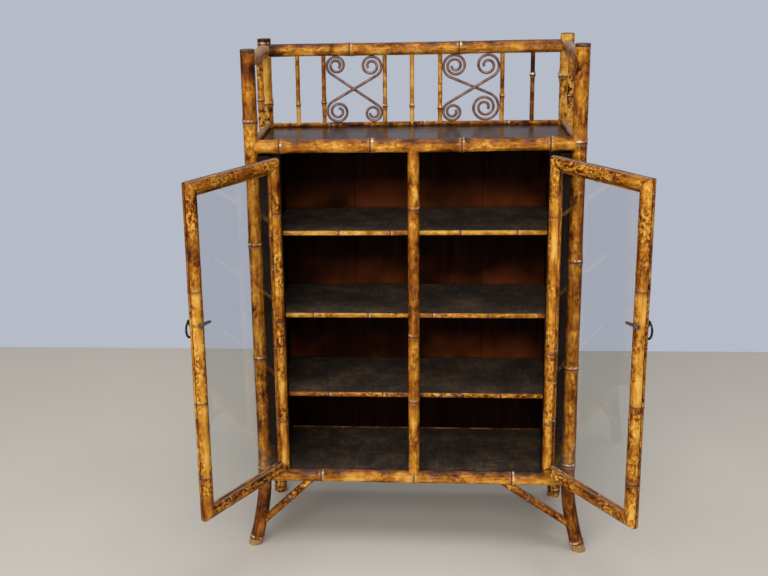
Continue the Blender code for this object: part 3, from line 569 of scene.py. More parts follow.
def black_lacquer(tree):
    """Top board japanned near black: deep gloss with fine rubbing marks and a film of dust."""
    rubbed, cloud = patterns(tree, ((0.15, 1, 1), 240, 4), (even, 9, 5))
    gloss = add(tree, "MapRange", (cloud, 0.3, 0.75, 0.16, 0.32))
    return surface(tree, (cloud, (0.35, "#15100D"), (0.6, "#261B16"), (0.8, "#33271F")),
                   {"Roughness": gloss, "IOR": 1.6}, (0.08, 0.0003, rubbed))


def stained_case_timber(tree):
    """Pine of the case, stained almost black: open straight grain of 11 mm, thinly varnished."""
    figure, = patterns(tree, ((1, 1, 0.06), 90, 5, 0.4))
    return surface(tree, (figure, (0.32, "#0E0705"), (0.55, "#1B0F0A"), (0.75, "#2C1B12")),
                   {"Roughness": 0.5, "Specular IOR Level": 0.1}, (0.3, 0.0005, figure))


def back_boards_stain_and_painted_light(tree):
    """Thin softwood boards of the back, stained red-brown, dull, and drawn near black as painted
    shade.

    Inside, a band of painted light lies just above each shelf, where the red-brown shows.
    """
    coordinates = add(tree, "TexCoord").outputs
    place = coordinates["Object"]
    figure, fine, uneven = patterns(
        tree, ((1, 1, 0.09), 45, 4, 0.8), ((1, 1, 0.09), 500, 2), (even, 9, 3), place=place)
    mixed = add(tree, "Math", (fine, 0.25, figure), operation="MULTIPLY_ADD")
    # The boards' stain is drawn near black, as painted shade
    stain_and_painted_shade = add(tree, "ValToRGB", (mixed,), (
        (0.40, "#0A0302"), (0.60, "#140704"), (0.80, "#1E0C06")))
    low, high = 0.18, 0.92
    height = add(tree, "SeparateXYZ", (place,)).outputs[2]
    level = add(tree, "MapRange", (height, low, high, 0, 1))
    # Painted light: a red-brown band just above each shelf, on faces turned to the front
    painted_light_stops = []
    for shelf_z in shelf_tops:
        share = (shelf_z - low) / (high - low)
        painted_light_stops += [(share - 0.005, 0.0), (share + 0.005, 0.8), (share + 0.04, 0.5),
                 (share + 0.10, 0.0)]
    turned_to = add(tree, "SeparateXYZ", (coordinates["Normal"],)).outputs[1]
    mask = add(tree, "ValToRGB", (level,), painted_light_stops)
    for limits in ((uneven, 0.38, 0.62, 0.1, 1), (turned_to, -0.5, 0, 1, 0)):
        mask = add(tree, "Math", (mask, add(tree, "MapRange", limits)), operation="MULTIPLY")
    colour = add(tree, "Mix", {0: mask, 6: stain_and_painted_shade, 7: "#6A3418"}, data_type="RGBA").outputs[2]
    return surface(tree, colour, {"Roughness": 0.7, "Specular IOR Level": 0.02},
                   (0.3, 0.0006, mixed))


def sedge_matting(tree):
    """Woven sedge matting on the shelves, gone dark: flat 5 mm strands, worn and dusty, matt."""
    weft, warp, cloud = patterns(
        tree, ((0.12, 1, 1), 190, 2, 0.4), ((1, 0.3, 1), 120, 2), (even, 13, 5, 0, 0.65))
    woven = add(tree, "Math", (warp, weft), operation="MULTIPLY")
    mixed = add(tree, "Math", (woven, 0.9, cloud), operation="MULTIPLY_ADD")
    return surface(tree, (mixed, (0.50, "#1A120D"), (0.72, "#36291F"), (0.95, "#5C4834")),
                   {"Roughness": 0.85}, (0.6, 0.0008, woven))


def worn_iron(tree):
    """Hand-forged iron, blacked and rubbed: dark metal with 1 mm pits, brighter where handled."""
    pit, rub = patterns(tree, (even, 900, 3), (even, 180, 3))
    return surface(tree, (rub, (0.40, "#1E1A19"), (0.58, "#3A3331"), (0.74, "#7A7068")),
                   {"Metallic": 0.85, "Roughness": 0.42}, (0.4, 0.0003, pit))


def rubbed_iron(tree):
    """Iron of the latch's tongue, rubbed bare by use and dulled again: grey-brown, scratched."""
    rub, = patterns(tree, (even, 330, 4))
    return surface(tree, (rub, (0.38, "#3E332C"), (0.55, "#7C6C5E"), (0.72, "#A89886")),
                   {"Metallic": 0.6, "Roughness": 0.5}, (0.5, 0.0004, rub))


def old_window_glass(tree):
    """Drawn window glass, grey with age and film: faint waves, clear for lamp rays."""
    wave, = patterns(tree, (even, 7, 1))
    pane = surface(tree, "#EEF0F0", {"Roughness": 0.0, "IOR": 1.5, "Transmission Weight": 1.0},
                   (0.12, 0.002, wave))
    clear = add(tree, "BsdfTransparent", ("#EEF0F0",))
    return add(tree, "MixShader", (add(tree, "LightPath").outputs["Is Shadow Ray"], pane, clear))


# Pieces

def leg_point(side, z):
    """Point on a front post's line at a height; it splays out below its start."""
    share = max(0, (splay_start - z) / splay_start) ** splay_power
    return Vector((side * (post_x + splay_out * share), -splay_forward * share, z))


# Each post's nodes, as heights with their rise, and the tone of each stretch from the floor up
post_nodes = {
    ("front", "left"): ((0.0145, 0.188, 0.453, 0.711, 0.976), (1, 1, 1.1, 1.2, 1.3)),
    ("front", "right"): ((0.018, 0.207, 0.434, 0.674, 0.926), (1, 1, 1, 1.1, 1.2)),
    ("rear", "left"): ((0.0155, 0.270, 0.508, 0.752, 0.979, 1.1145), (1, 1, 1, 1, 1.8, 0)),
    ("rear", "right"): ((0.0155, 0.243, 0.487, 0.724, 1.033), (1, 1, 1, 1, 3.4)),
}
post_tones = {
    ("front", "left"): (0.6, 0.80, 0.58, 0.42, 0.5, 0.8),
    ("front", "right"): (0.6, 0.85, 0.66, 0.6, 0.58, 0.45),
    ("rear", "left"): (0.5, 0.6, 0.5, 0.4, 0.25, -0.1, 1.8),
    ("rear", "right"): (0.5, 0.5, 0.4, 0.5, 0.2, 0.1),
}
post_marks = {
    ("front", "left"): ((1.088, 0.014, 0.25), (1.02, 0.03, -0.15), (0.09, 0.03, 0.15)),
    ("front", "right"): ((1.090, 0.010, 0.3), (0.99, 0.03, 0.15), (0.09, 0.03, 0.15)),
    ("rear", "left"): ((0.93, 0.03, 0.3),),
    ("rear", "right"): ((1.10, 0.02, 0.1),),
}


def make_post(row, side_name):
    """One post: a front one splays at the foot and is capped, a rear one is open at the top."""
    side = sides[side_name]
    node = f"post_{row}_{side_name}"
    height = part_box(node)[1].z
    work = new_work()
    nodes, rises = post_nodes[row, side_name]
    # A front post leans at the floor, so it is drawn on below it and cut off level
    capped = row == "front"
    below, plug_height = (0.010, 0.006) if capped else (0, 0)
    if capped:
        line, length = (lambda along: leg_point(side, along - below)), height - plug_height + below
    else:
        line, length = straight((side * post_x, back_y, 0), (side * post_x, back_y, height))
    marks = [(place + below, *rest) for place, *rest in post_marks[row, side_name]]
    low, high = cane(work, whole_round(work), line, length, post_radius,
                     [place + below for place in nodes], front, node, step=0.008, rises=rises,
                     tones=post_tones[row, side_name], marks=marks)
    if not capped:
        hollow(work, high)
        hollow(work, low)
        finish_cane(work, node, "speckled", sawn_bamboo_end)
        return
    bmesh.ops.edgeloop_fill(work, edges=cut_off(work, (0, 0, 0), (0, 0, -1)))
    # The foot is bare up to just under its lowest node
    node_margin, plug_overhang, plug_taper, plug_bevel = 0.0015, 0.0004, 0.0002, 0.0014
    for face in work.faces:
        if face.calc_center_median().z < nodes[0] - node_margin:
            face.material_index = 2
    plug_radius = post_radius + plug_overhang
    plug = bmesh.ops.create_cone(work, cap_ends=True, segments=32, radius1=plug_radius,
                                 radius2=plug_radius - plug_taper, depth=plug_height)["verts"]
    move(work, plug, side * post_x, 0, height - plug_height / 2)
    for face in {face for vert in plug for face in vert.link_faces}:
        face.material_index = 1
    soften(work, plug, 2, plug_bevel, 3)
    finish_cane(work, node, "pole", stained_plug, bare_cane)


class CABINET_OT_posts(bpy.types.Operator):
    """Make the four bamboo posts, with nodes, caps, splayed feet and open rear tops"""

    bl_idname = "cabinet.posts"
    bl_label = "Posts"

    def execute(self, context):
        for row, side_name in post_nodes:
            make_post(row, side_name)
        return {"FINISHED"}


def make_rail(node, radius, nodes, kind="rail", axis=0, shift=(0, 0, 0), marks=(), **options):
    """A straight cane along the box of its CAD node, with its ends tucked into what it meets."""
    low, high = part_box(node)
    middle = (low + high) / 2 + Vector(shift)
    start, end = middle.copy(), middle.copy()
    limits = {0: (-post_x + rail_tuck, post_x - rail_tuck), 1: (rail_tuck, back_y - rail_tuck)}
    start[axis], end[axis] = limits[axis]
    line, length = straight(start, end)
    work = new_work()
    marks = [(place - start[axis], *rest) for place, *rest in marks]
    places = [place - start[axis] for place in nodes]
    cane(work, whole_round(work), line, length, radius, places, up, node, marks=marks, **options)
    finish_cane(work, node, kind)


def make_upright(node, radius, z_range, nodes, kind="slim", lean=0.0, **options):
    """An upright cane between two heights, in the middle of its CAD node's box."""
    low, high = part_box(node)
    middle = (low + high) / 2
    line, length = straight((middle.x - lean, middle.y, z_range[0]),
                            (middle.x + lean, middle.y, z_range[1]))
    work = new_work()
    cane(work, whole_round(work, 20 if radius < 0.01 else 26), line, length, radius,
         [place - z_range[0] for place in nodes], front, node, **options)
    finish_cane(work, node, kind)


class CABINET_OT_rails(bpy.types.Operator):
    """Make the rails between the posts, the centre stile and the leg braces"""

    bl_idname = "cabinet.rails"
    bl_label = "Rails, stile and braces"

    def execute(self, context):
        make_rail("rail_front_top", 0.0143, (-0.280, -0.089, 0.100, 0.281), shift=(0, 0, 0.004),
                  tones=(0.2, 0.40, 0.35, 0.55, 0.3), rises=(1.2, 1.5, 1.2, 1.6))
        make_rail("rail_front_bottom", 0.014, (-0.210, -0.001, 0.215), tones=(0.45, 0.3, 0.35, 0.3),
                  rises=(1, 1, 1.5))
        make_rail("rail_back_bottom", 0.013, (-0.184, 0.041, 0.245))
        for side_name in sides:
            make_rail(f"rail_side_top_{side_name}", 0.012, (0.089,), axis=1)
            make_rail(f"rail_side_bottom_{side_name}", 0.013, (0.089,), axis=1)
        make_upright("centre_stile", 0.0121, (bottom_rail_z + 0.004, top_rail_z - 0.004),
                     (0.353, 0.505, 0.788), "stile", lean=0.0005, tones=(0.45, 0.5, 0.55, 0.35),
                     rises=(0.5, 0.5, 0.5))
        # Each brace's foot on the leg, its head along the rail, and its node's share of its length
        for side_name, foot_z, inset, share in (
                ("left", 0.046, 0.116, 0.54), ("right", 0.057, 0.156, 0.58)):
            side = sides[side_name]
            node = f"leg_brace_{side_name}"
            line, length = straight(
                leg_point(side, foot_z), (side * (post_x - inset), 0, bottom_rail_z))
            work = new_work()
            # The braces' dark tones are partly scorching and partly a painted shade
            cane(work, whole_round(work, 22), line, length, 0.0085, (share * length,), front, node,
                 tones=(0.85, 0.8), waver=1.5, rise=1.6)
            finish_cane(work, node, "spotted")
        return {"FINISHED"}


class CABINET_OT_gallery(bpy.types.Operator):
    """Make the gallery's rails and spindles"""

    bl_idname = "cabinet.gallery"
    bl_label = "Gallery"

    def execute(self, context):
        make_rail("gallery_rail_back", 0.0143, (-0.145, 0.101), tones=(0.5, 0.3, 0.45),
                  rises=(1.3, 1.2), marks=((-0.33, 0.05, 0.25), (0.30, 0.02, 0.2)))
        make_rail("gallery_base_back", 0.005, (-0.19, 0.02, 0.21), kind="slim", rise=0.6,
                  tones=(0.6, 0.85, 0.7, 0.8))
        for side_name in sides:
            make_rail(f"gallery_rail_{side_name}", 0.014, (0.107,), kind="dusty", axis=1)
            make_rail(f"gallery_base_{side_name}", 0.007, (0.13,), kind="dusty", axis=1, rise=0.6,
                      shift=(-sides[side_name] * 0.004, 0, 0.001))
        foot, head = 0.9293, 1.100
        # Each spindle's node, its rise, and the tone below and above it
        nodes = ((0.975, 1.8, 0.1, 0.55), (0.979, 2.8, 0.3, 0.7), (0.970, 2.2, 0.5, 0.55),
                 (0.970, 2.8, 0.0, 0.15), (0.964, 2.8, 0.45, 0.5), (0.989, 2.2, 0.45, 0.7),
                 (1.036, 3.6, 1.0, 1.6))
        for number, (z, rise, below, above) in enumerate(nodes, start=1):
            make_upright(f"spindle_back_{number}", 0.00475, (foot, head), (z,), rise=rise,
                         step=0.014, tones=(below, above))
        for side_name in sides:
            make_upright(f"spindle_side_{side_name}", 0.0073, (foot, head), (0.998,), "speckled",
                         rise=1.6, tones=(0.3, 0.55))
        return {"FINISHED"}


# Each spiral's outer radius as a share of half its panel's width, and its turns, as in the solids
scroll_shapes = {
    ("left", -1, 1): (0.303, 1.65), ("left", 1, 1): (0.335, 1.60),
    ("left", -1, -1): (0.358, 1.75), ("left", 1, -1): (0.277, 1.50),
    ("right", -1, 1): (0.375, 2.00), ("right", 1, 1): (0.372, 1.55),
    ("right", -1, -1): (0.300, 1.60), ("right", 1, -1): (0.440, 2.10),
}
# Where the panels' sides, middle height and reach lie, as in the solids
scroll_bays = {"left": (-0.2055, -0.0665), "right": (0.0585, 0.1975)}
scroll_middle_z = 1.00997
scroll_reach_z = 0.07286
# How far each of two crossing canes lies off the panel, and from the spindles at its sides
scroll_offset = 0.00335
scroll_seat = 0.00754
scroll_end_radius = 0.0075
scroll_cane_radius = 0.0032
scroll_swell_rate, scroll_swell_share = 30, 0.08


def spiral_end(panel, corner_x, corner_z, reach_x):
    """Points from the panel's middle to the tip of the spiral that fills one corner."""
    near, far = scroll_bays[panel]
    share, turns = scroll_shapes[panel, corner_x, corner_z]
    outer = share * (far - near) / 2
    last = turns * 2 * math.pi
    decay = (outer - scroll_end_radius) / last
    centre_x = reach_x - outer
    centre_z = scroll_reach_z - outer + decay * math.pi / 2
    first = 0
    for _ in range(4):
        first = math.atan2(-centre_z, -centre_x) + math.acos(
            (outer - decay * first) / math.hypot(centre_x, centre_z))
    steps = math.ceil((last - first) / (2 * math.pi) * 40)
    points = []
    for step in range(steps + 1):
        angle = first + (last - first) * step / steps
        radius = outer - decay * angle
        points.append(Vector((corner_x * (centre_x + radius * math.cos(angle)), 0,
                              corner_z * (centre_z + radius * math.sin(angle)))))
    return points


class CABINET_OT_scrolls(bpy.types.Operator):
    """Make the bent canes that cross in each panel and curl up in its corners"""

    bl_idname = "cabinet.scrolls"
    bl_label = "Scrolled canes"

    def execute(self, context):
        for panel, (near, far) in scroll_bays.items():
            reach_x = (far - near) / 2 - scroll_seat
            for kind, slope in (("rising", 1), ("falling", -1)):
                place = Vector(((near + far) / 2, back_y - slope * scroll_offset, scroll_middle_z))
                low_end = spiral_end(panel, -1, -slope, reach_x)
                high_end = spiral_end(panel, 1, slope, reach_x)
                middle = [low_end[0].lerp(high_end[0], share / 8) for share in range(1, 8)]
                points = [place + point for point in low_end[::-1] + middle + high_end]
                node = f"scroll_{panel}_{kind}"
                offset = random.Random(node).uniform(0, 9)
                along, stations = 0.0, []
                for index, point in enumerate(points):
                    along += (point - points[index - 1]).length if index else 0
                    swell = noise.noise(Vector((along * scroll_swell_rate, offset, 0)))
                    radius = scroll_cane_radius * (1 + scroll_swell_share * swell)
                    stations.append((point, radius, along, unmarked))
                work = new_work()
                sweep(work, whole_round(work, 14), stations, front, offset)
                finish_cane(work, node, bent_cane, slot="cane")
        return {"FINISHED"}


class CABINET_OT_edgings(bpy.types.Operator):
    """Make the split canes on the shelves' front edges"""

    bl_idname = "cabinet.edgings"
    bl_label = "Shelf edgings"

    def execute(self, context):
        for level, nodes, tones in (
                ("lower", (-0.19, -0.07, 0.06, 0.19), (0.85, 0.7, 0.85, 0.7, 0.8)),
                ("middle", (-0.22, -0.10, 0.04, 0.16), (0.3, 0.35, 0.6, 0.4, 0.5)),
                ("upper", (-0.16, -0.05, 0.10, 0.22), (0.2, 0.2, 0.35, 0.15, 0.2))):
            node = f"shelf_edging_{level}"
            low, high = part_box(node)
            z = (low.z + high.z) / 2
            line, length = straight((low.x, high.y, z), (high.x, high.y, z))
            work = new_work()
            ends = cane(work, half_round(work, 20), line, length, 0.005,
                        [place - low.x for place in nodes], front, node, tones=tones, waver=0.2,
                        rise=0.7)
            for face in ends:
                face.material_index = 1
            finish_cane(work, node, "edging", bare_cane)
        return {"FINISHED"}


# Doors, in each door's own frame: x runs from the pins across the door, y from the pins to the back

# Where the pins stand, and how far each door is turned open
door_pins = {"left": Vector((-0.299, -0.0155, 0)), "right": Vector((0.299, -0.0155, 0))}
door_turns = {"left": -120.2, "right": 122.5}
door_mid = 0.0155
door_bar_radius = 0.0135
hinge_axis_x, free_axis_x = 0.0113, 0.272
door_low_z, door_high_z = 0.2085, 0.8915
# The hinge bar's outer side is planed flat, to turn clear of the post
planed_x = 0.0018
latch_z = 0.620
# Each bar's nodes, as heights or as distances from the pins, and the tones of its stretches in
# the same order
door_bars = {
    ("left", "hinge"): ((0.318, 0.550, 0.788), (0.2, 0.35, 0.4, 0.45)),
    ("right", "hinge"): ((0.318, 0.480, 0.778), (0.45, 0.25, 0.2, 0.3)),
    ("left", "free"): ((0.2905, 0.4544, 0.687), (0.2, 0.05, 0.05, 0.45)),
    ("right", "free"): ((0.2905, 0.4544, 0.687), (0.35, 0.35, 0.12, 0.35)),
    ("left", "top"): ((0.194,), (0.55, 0.5)),
    ("right", "top"): ((0.194,), (0.6, 0.5)),
    ("left", "bottom"): ((0.204,), (0.8, 0.7)),
    ("right", "bottom"): ((0.204,), (0.65, 0.6)),
}
# Patches on the upright bars: height, spread and change of tone
door_marks = {
    ("left", "free"): ((0.53, 0.02, 0.15), (0.19, 0.025, 0.6), (0.68, 0.015, -0.15),
                       (0.86, 0.03, 0.2)),
    ("right", "free"): ((0.752, 0.04, 0.3), (0.66, 0.03, -0.15), (0.59, 0.025, 0.25)),
    ("left", "hinge"): ((0.84, 0.03, 0.2), (0.40, 0.03, -0.2)),
    ("right", "hinge"): ((0.468, 0.009, 0.45), (0.72, 0.05, -0.2)),
}
# Where each upright bar is lightest across its inner half, and how fast painted shade darkens it
# away from there
door_painted_shade_flanks = {
    ("left", "free"): (0.45, 1.2), ("right", "free"): (-0.8, 0.85),
    ("left", "hinge"): (-0.62, 2.0), ("right", "hinge"): (0.62, 2.0),
}


def door_matrix(side_name):
    """Matrix from a door's own frame to where it stands open."""
    return Matrix.Translation(door_pins[side_name]) @ Matrix.Rotation(
        math.radians(door_turns[side_name]), 4, "Z")


def door_lines(side_name, inset=0.0):
    """A door's bars from the hinge side's foot and round, each as four corners: the one before
    the bar, its two ends and the one after."""
    near, far = hinge_axis_x + inset, free_axis_x - inset
    low, high = door_low_z + inset, door_high_z - inset
    corners = [Vector((-sides[side_name] * x, door_mid, z)) for x, z in (
        (near, low), (far, low), (far, high), (near, high))]
    return [[corners[(index + step) % 4] for step in (-1, 0, 1, 2)] for index in range(4)]


def past_corners(bar, spare):
    """The line of a bar drawn past its two corners, its length, and where it starts."""
    _, start, end, _ = bar
    along = (end - start).normalized()
    return *straight(start - along * spare, end + along * spare), start


def mitre(work, had, bar):
    """Cuts a new bar back to the mitres at its corners, and leaves the faces that work had."""
    before, start, end, after = bar
    gap = bpy.context.scene.cabinet_sizes.mitre_gap / 2
    along = (end - start).normalized()
    for corner, neighbour, way in ((start, before, -along), (end, after, along)):
        outward = (way + (neighbour - corner).normalized()).normalized()
        mine = [face for face in work.faces if face not in had]
        parts = {part for face in mine for part in (*face.verts, *face.edges)}
        rim = cut_off(work, corner - outward * gap, outward, [*parts, *mine])
        bmesh.ops.edgenet_fill(work, edges=rim)


def make_frame(side_name):
    """A door's four mitred bars, each of two split canes on a dark core."""
    seam = bpy.context.scene.cabinet_sizes.seam
    lift = seam / 2 / door_bar_radius
    spare = 0.024
    core_half_width, core_lap = door_bar_radius - 0.0022, 0.0004
    work = new_work()
    for name, bar in zip(("bottom", "free", "top", "hinge"), door_lines(side_name)):
        line, length, start = past_corners(bar, spare)
        nodes, tones = door_bars[side_name, name]
        upright = name in ("hinge", "free")
        origin = start.z if upright else abs(start.x)
        places = [abs(place - origin) + spare for place in nodes]
        if name in ("hinge", "top"):
            places, tones = places[::-1], tones[::-1]
        marks = [(abs(place - origin) + spare, *rest)
                 for place, *rest in door_marks.get((side_name, name), ())]
        # Each half cane gets painted shade towards its edges, off centre on the upright bars
        painted_shade_flanks = {1: door_painted_shade_flanks.get((side_name, name), (0, 0.2)), -1: (0, 0.4)}
        for face_side, painted_shade_flank in painted_shade_flanks.items():
            had = set(work.faces)
            cane(work, half_round(work, 30, 1 - lift, lift), line, length, door_bar_radius, places,
                 Vector((0, face_side, 0)), f"{side_name}_{name}_{face_side}", tones=tones,
                 waver=0.0, rise=0.4, step=0.012, marks=marks, painted_shade_flank=painted_shade_flank)
            mitre(work, had, bar)
            if not upright:
                for face in set(work.faces) - had:
                    face.material_index = 2
        had = set(work.faces)
        stations = [(line(place), 1, place, unmarked) for place in (0, length)]
        sweep(work, strip(work, core_half_width, seam / 2 + core_lap), stations, Vector((0, 1, 0)))
        mitre(work, had, bar)
        for face in set(work.faces) - had:
            face.material_index = 1
    outward = sides[side_name]
    rim = cut_off(work, (-outward * planed_x, 0, 0), (outward, 0, 0))
    for face in bmesh.ops.edgenet_fill(work, edges=rim)["faces"]:
        face.material_index = 1
    finish_piece(work, f"door_bars_{side_name}", ["door", stained_core, "spotted"],
                 f"door_{side_name}", [f"door_frame_{side_name}"], matrix=door_matrix(side_name))


def make_bead(side_name):
    """The slim split cane that holds the glass, mitred at the corners."""
    radius, lap, spare = 0.0024, 0.0004, 0.008
    first_node, node_spacing, last_node = (0.02, 0.06), (0.05, 0.11), 0.02
    work = new_work()
    for index, bar in enumerate(door_lines(side_name, door_bar_radius + radius - lap)):
        line, length, _ = past_corners(bar, spare)
        seed = f"bead {side_name} {index}"
        chance = random.Random(seed)
        places, place = [], chance.uniform(*first_node)
        while place < length - last_node:
            places.append(place)
            place += chance.uniform(*node_spacing)
        had = set(work.faces)
        cane(work, half_round(work, 14, 1.3, 0.7), line, length, radius, places, Vector((0, 1, 0)),
             seed, waver=0.1, rise=0.8, step=0.03)
        mitre(work, had, bar)
    finish_piece(work, f"door_bead_{side_name}", ["bead"], f"door_{side_name}",
                 matrix=door_matrix(side_name))


class CABINET_OT_doors(bpy.types.Operator):
    """Make the mitred bamboo frames of the doors and the beads round their glass"""

    bl_idname = "cabinet.doors"
    bl_label = "Door frames"

    def execute(self, context):
        for side_name in sides:
            make_frame(side_name)
            make_bead(side_name)
        return {"FINISHED"}


# Latches

# Profile of the rose and spindle from the outer end: radius and distance out from the bar's middle
latch_profile = (
    (0, 0.0158), (0.0030, 0.0158), (0.0045, 0.0155), (0.0070, 0.0153), (0.0082, 0.0149),
    (0.0088, 0.0143), (0.0088, 0.0138), (0.0030, 0.0138), (0.0030, -0.0138), (0.0045, -0.0138),
    (0.0046, -0.0172), (0.0038, -0.0178), (0.0018, -0.0181), (0, -0.0181),
)
# How far the tongue lies behind the bar's middle, and the eye before it
bar_back = 0.0138
eye_out = 0.0193


def make_latch(side_name):
    """A turn latch: rose and eye outside, and a tongue that turns with them inside."""
    eye_radius, eye_wire, eye_width = 0.0036, 0.0013, 2.2
    tip_reach, tail_reach, tongue_radius, tongue_thickness = 0.022, 0.009, 0.004, 0.0027
    inward = -sides[side_name]
    full_turn = 2 * math.pi
    work = new_work()
    verts = [work.verts.new((radius, -out, 0)) for radius, out in latch_profile]
    edges = [work.edges.new(pair) for pair in zip(verts, verts[1:])]
    bmesh.ops.spin(work, geom=verts + edges, cent=(0, 0, 0), axis=(0, 1, 0), angle=full_turn,
                   steps=32, use_merge=True)
    bmesh.ops.remove_doubles(work, verts=work.verts[:], dist=0.000005)
    eye = whole_round(work, 14)
    bmesh.ops.scale(work, vec=(eye_width * eye_wire, eye_wire, 1), verts=eye)
    move(work, eye, 0, -eye_out - eye_radius, 0)
    rim = list({edge for vert in eye for edge in vert.link_edges})
    bmesh.ops.spin(work, geom=eye + rim, cent=(0, -eye_out, 0), axis=(1, 0, 0), angle=full_turn,
                   steps=24, use_merge=True)
    # The tongue is a round plate drawn out to a narrower tip and a short tail
    tongue = bmesh.ops.create_circle(work, cap_ends=True, segments=28,
                                     radius=tongue_radius)["verts"]
    tip = [vert for vert in tongue if vert.co.x * -inward > 0.0001]
    tail = [vert for vert in tongue if vert not in tip]
    move(work, tip, -inward * tip_reach, 0, 0)
    bmesh.ops.scale(work, vec=(1, 0.7, 1), verts=tip)
    move(work, tail, inward * tail_reach, 0, 0)
    bmesh.ops.rotate(work, matrix=Matrix.Rotation(math.radians(90), 3, "X"), verts=tongue)
    move(work, tongue, 0, bar_back, 0)
    plate = list({face for vert in tongue for face in vert.link_faces})
    grown = bmesh.ops.extrude_face_region(work, geom=plate)["geom"]
    far = [item for item in grown if isinstance(item, bmesh.types.BMVert)]
    move(work, far, 0, tongue_thickness, 0)
    soften(work, far, 1, 0.0007, 2)
    for face in work.faces:
        if face.calc_center_median().y > bar_back - 0.0001:
            face.material_index = 1
    place = Matrix.Translation((inward * free_axis_x, door_mid, latch_z))
    finish_piece(work, f"latch_{side_name}_iron", [worn_iron, rubbed_iron], f"latch_{side_name}",
                 [f"latch_{side_name}"], door_matrix(side_name) @ place)


def make_drop(side_name):
    """The oval ring of round wire that hangs in the latch's eye."""
    inward = -sides[side_name]
    wire, top_share, half_width, length, steps_round = 0.0024, 0.86, 0.0100, 0.032, 56
    # The oval is cut off straight at the top, over this half width, where it hangs in the eye
    top_half = 0.0045
    first = math.asin(top_half / half_width)
    half_height = length / (1 + math.cos(first))
    points = []
    for step in range(steps_round + 1):
        angle = first + (2 * math.pi - 2 * first) * step / steps_round
        points.append(Vector((half_width * math.sin(angle), 0,
                              half_height * (math.cos(angle) - math.cos(first)))))
    points += [Vector((top_half * share, 0, 0)) for share in (-0.6, -0.2, 0.2, 0.6)]
    stations = []
    for index, point in enumerate(points):
        low = min(1, abs(point.z) / length)
        stations.append((point, wire * (top_share + (1 - top_share) * low), index / 100, unmarked))
    work = new_work()
    sweep(work, whole_round(work, 16), stations, Vector((0, 1, 0)), closed=True)
    place = Matrix.Translation((inward * free_axis_x, door_mid - eye_out, latch_z))
    finish_piece(work, f"drop_ring_{side_name}", [worn_iron], f"drop_{side_name}",
                 [f"handle_drop_{side_name}"], door_matrix(side_name) @ place)


class CABINET_OT_latches(bpy.types.Operator):
    """Make the turn latches and their drop rings"""

    bl_idname = "cabinet.latches"
    bl_label = "Latches"

    def execute(self, context):
        for side_name in sides:
            make_latch(side_name)
            make_drop(side_name)
        return {"FINISHED"}


case_finishes = {
    "top_board": black_lacquer,
    "bottom_board": sedge_matting,
    "side_board_left": stained_case_timber,
    "side_board_right": stained_case_timber,
    "back_panel": back_boards_stain_and_painted_light,
    "shelf_lower": sedge_matting,
    "shelf_middle": sedge_matting,
    "shelf_upper": sedge_matting,
    "door_glass_left": old_window_glass,
    "door_glass_right": old_window_glass,
}


class CABINET_OT_case(bpy.types.Operator):
    """Give the boards, shelves, glass and hinges of the solids their finishes"""

    bl_idname = "cabinet.case"
    bl_label = "Case finishes"

    def execute(self, context):
        for name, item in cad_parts.items():
            kind = worn_iron if name.startswith("hinge_") else case_finishes.get(name)
            if kind:
                for slot in item.material_slots:
                    slot.material = finish(kind)
        return {"FINISHED"}


# Stage

def make_world(colours):
    """Pale surroundings for the eye and glass, dimmer ones for gloss, weak light for the rest."""
    world = bpy.data.worlds.new("studio")
    world.use_nodes = True
    tree = world.node_tree
    tree.nodes.clear()
    path = add(tree, "LightPath").outputs
    shown = add(tree, "Math", (path["Is Camera Ray"], path["Is Transmission Ray"]),
                operation="MAXIMUM")
    weak = add(tree, "Background", ("#E2E0DE", 0.22))
    pale = add(tree, "Background", (colours.wall, 1.0))
    dim = add(tree, "Background", ("#A39EA1", 1.0))
    glossy = add(tree, "MixShader", (path["Is Glossy Ray"], weak, dim))
    add(tree, "OutputWorld", (add(tree, "MixShader", (shown, glossy, pale)),))
    bpy.context.scene.world = world


def make_lamp(name, place, target, size, watts, code):
    """A soft square lamp that points at a place."""
    lamp = bpy.data.lights.new(name, "AREA")
    lamp.shape = "RECTANGLE"
    lamp.size, lamp.size_y = size
    lamp.energy = watts
    lamp.color = linear(code)
    item = bpy.data.objects.new(name, lamp)
    bpy.context.scene.collection.objects.link(item)
    item.location = place
    item.rotation_mode = "QUATERNION"
    item.rotation_quaternion = (Vector(target) - Vector(place)).to_track_quat("-Z", "Y")


def painted_floor(tree):
    """Plain painted floor: pale, matt, and faintly uneven over 300 mm."""
    cloud, = patterns(tree, (even, 3, 4))
    tint = bpy.context.scene.cabinet_colours.floor
    return surface(tree, (cloud, (0.3, tint * 0.96), (0.7, tint)),
                   {"Roughness": 0.75})


def make_camera():
    """Camera at the photograph's place, for a picture 768 by 576."""
    camera = bpy.data.cameras.new("camera")
    item = bpy.data.objects.new("camera", camera)
    bpy.context.scene.collection.objects.link(item)
    yaw, pitch, roll = -0.0951, -0.2654, -0.0264
    ahead = Vector((math.sin(yaw) * math.cos(pitch), math.cos(yaw) * math.cos(pitch),
                    math.sin(pitch)))
    level = Vector((math.cos(yaw), -math.sin(yaw), 0))
    rise = level.cross(ahead)
    right = level * math.cos(roll) + rise * math.sin(roll)
    above = rise * math.cos(roll) - level * math.sin(roll)
    place = Matrix((right, above, -ahead)).transposed().to_4x4()
    place.translation = (0.024685, -2.33172, 1.3345)
    item.matrix_world = place
    focal_pixels, picture_width = 1131.56, 768
    camera.sensor_width = 36
    camera.lens = camera.sensor_width * focal_pixels / picture_width
    camera.shift_x = 0.0818
    camera.shift_y = -0.0490
    bpy.context.scene.camera = item


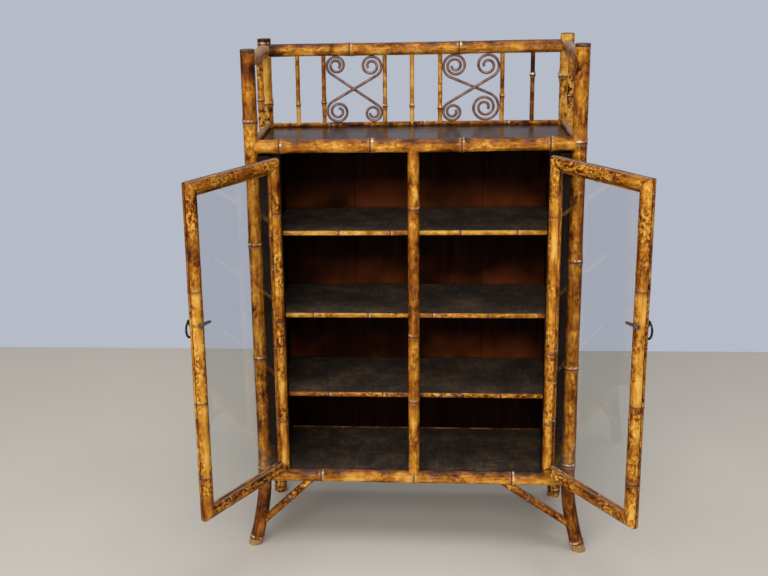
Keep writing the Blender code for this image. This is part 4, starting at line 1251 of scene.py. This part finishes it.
class CABINET_OT_stage(bpy.types.Operator):
    """Set up the floor, the lamps, the surroundings and the camera"""

    bl_idname = "cabinet.stage"
    bl_label = "Stage"

    def execute(self, context):
        colours = context.scene.cabinet_colours
        work = bmesh.new()
        bmesh.ops.create_grid(work, x_segments=1, y_segments=1, size=1)
        half_depth, back_edge = 3.2, 1.28
        bmesh.ops.scale(work, vec=(5, half_depth, 1), verts=work.verts)
        move(work, work.verts, 0, back_edge - half_depth, 0)
        mesh = bpy.data.meshes.new("floor")
        work.to_mesh(mesh)
        work.free()
        mesh.materials.append(finish(painted_floor))
        ground = bpy.data.objects.new("floor", mesh)
        context.scene.collection.objects.link(ground)
        make_world(colours)
        make_lamp("key", (-0.9, -3.6, 2.1), (0, 0.1, 0.55), (4.0, 3.0), 134, "#FFFAF2")
        make_lamp("overhead", (0.2, -0.6, 4.4), (0, 0.1, 0.6), (3.4, 3.4), 110, "#FCFBFA")
        make_camera()
        context.scene.view_settings.view_transform = "Standard"
        return {"FINISHED"}


class CABINET_PT_panel(bpy.types.Panel):
    """Lists the steps that dress the cabinet"""

    bl_idname = "CABINET_PT_panel"
    bl_label = "Bamboo cabinet"
    bl_space_type = "VIEW_3D"
    bl_region_type = "UI"
    bl_category = "Cabinet"

    def draw(self, context):
        for group in (context.scene.cabinet_sizes, context.scene.cabinet_colours):
            for name in group.__annotations__:
                self.layout.prop(group, name)
        for step in steps:
            self.layout.operator(step.bl_idname)


steps = (
    CABINET_OT_posts, CABINET_OT_rails, CABINET_OT_gallery, CABINET_OT_scrolls, CABINET_OT_edgings,
    CABINET_OT_doors, CABINET_OT_latches, CABINET_OT_case, CABINET_OT_stage,
)
classes = (CabinetSizes, CabinetColours, *steps, CABINET_PT_panel)


def register():
    """Registers the classes and the settings they keep on the scene."""
    for item in classes:
        bpy.utils.register_class(item)
    bpy.types.Scene.cabinet_sizes = bpy.props.PointerProperty(type=CabinetSizes)
    bpy.types.Scene.cabinet_colours = bpy.props.PointerProperty(type=CabinetColours)


def unregister():
    """Takes the settings and the classes away again."""
    del bpy.types.Scene.cabinet_colours
    del bpy.types.Scene.cabinet_sizes
    for item in reversed(classes):
        bpy.utils.unregister_class(item)


def main():
    """Dresses the cabinet step by step."""
    register()
    for step in steps:
        group, name = step.bl_idname.split(".")
        getattr(getattr(bpy.ops, group), name)()


if __name__ == "__main__":
    main()
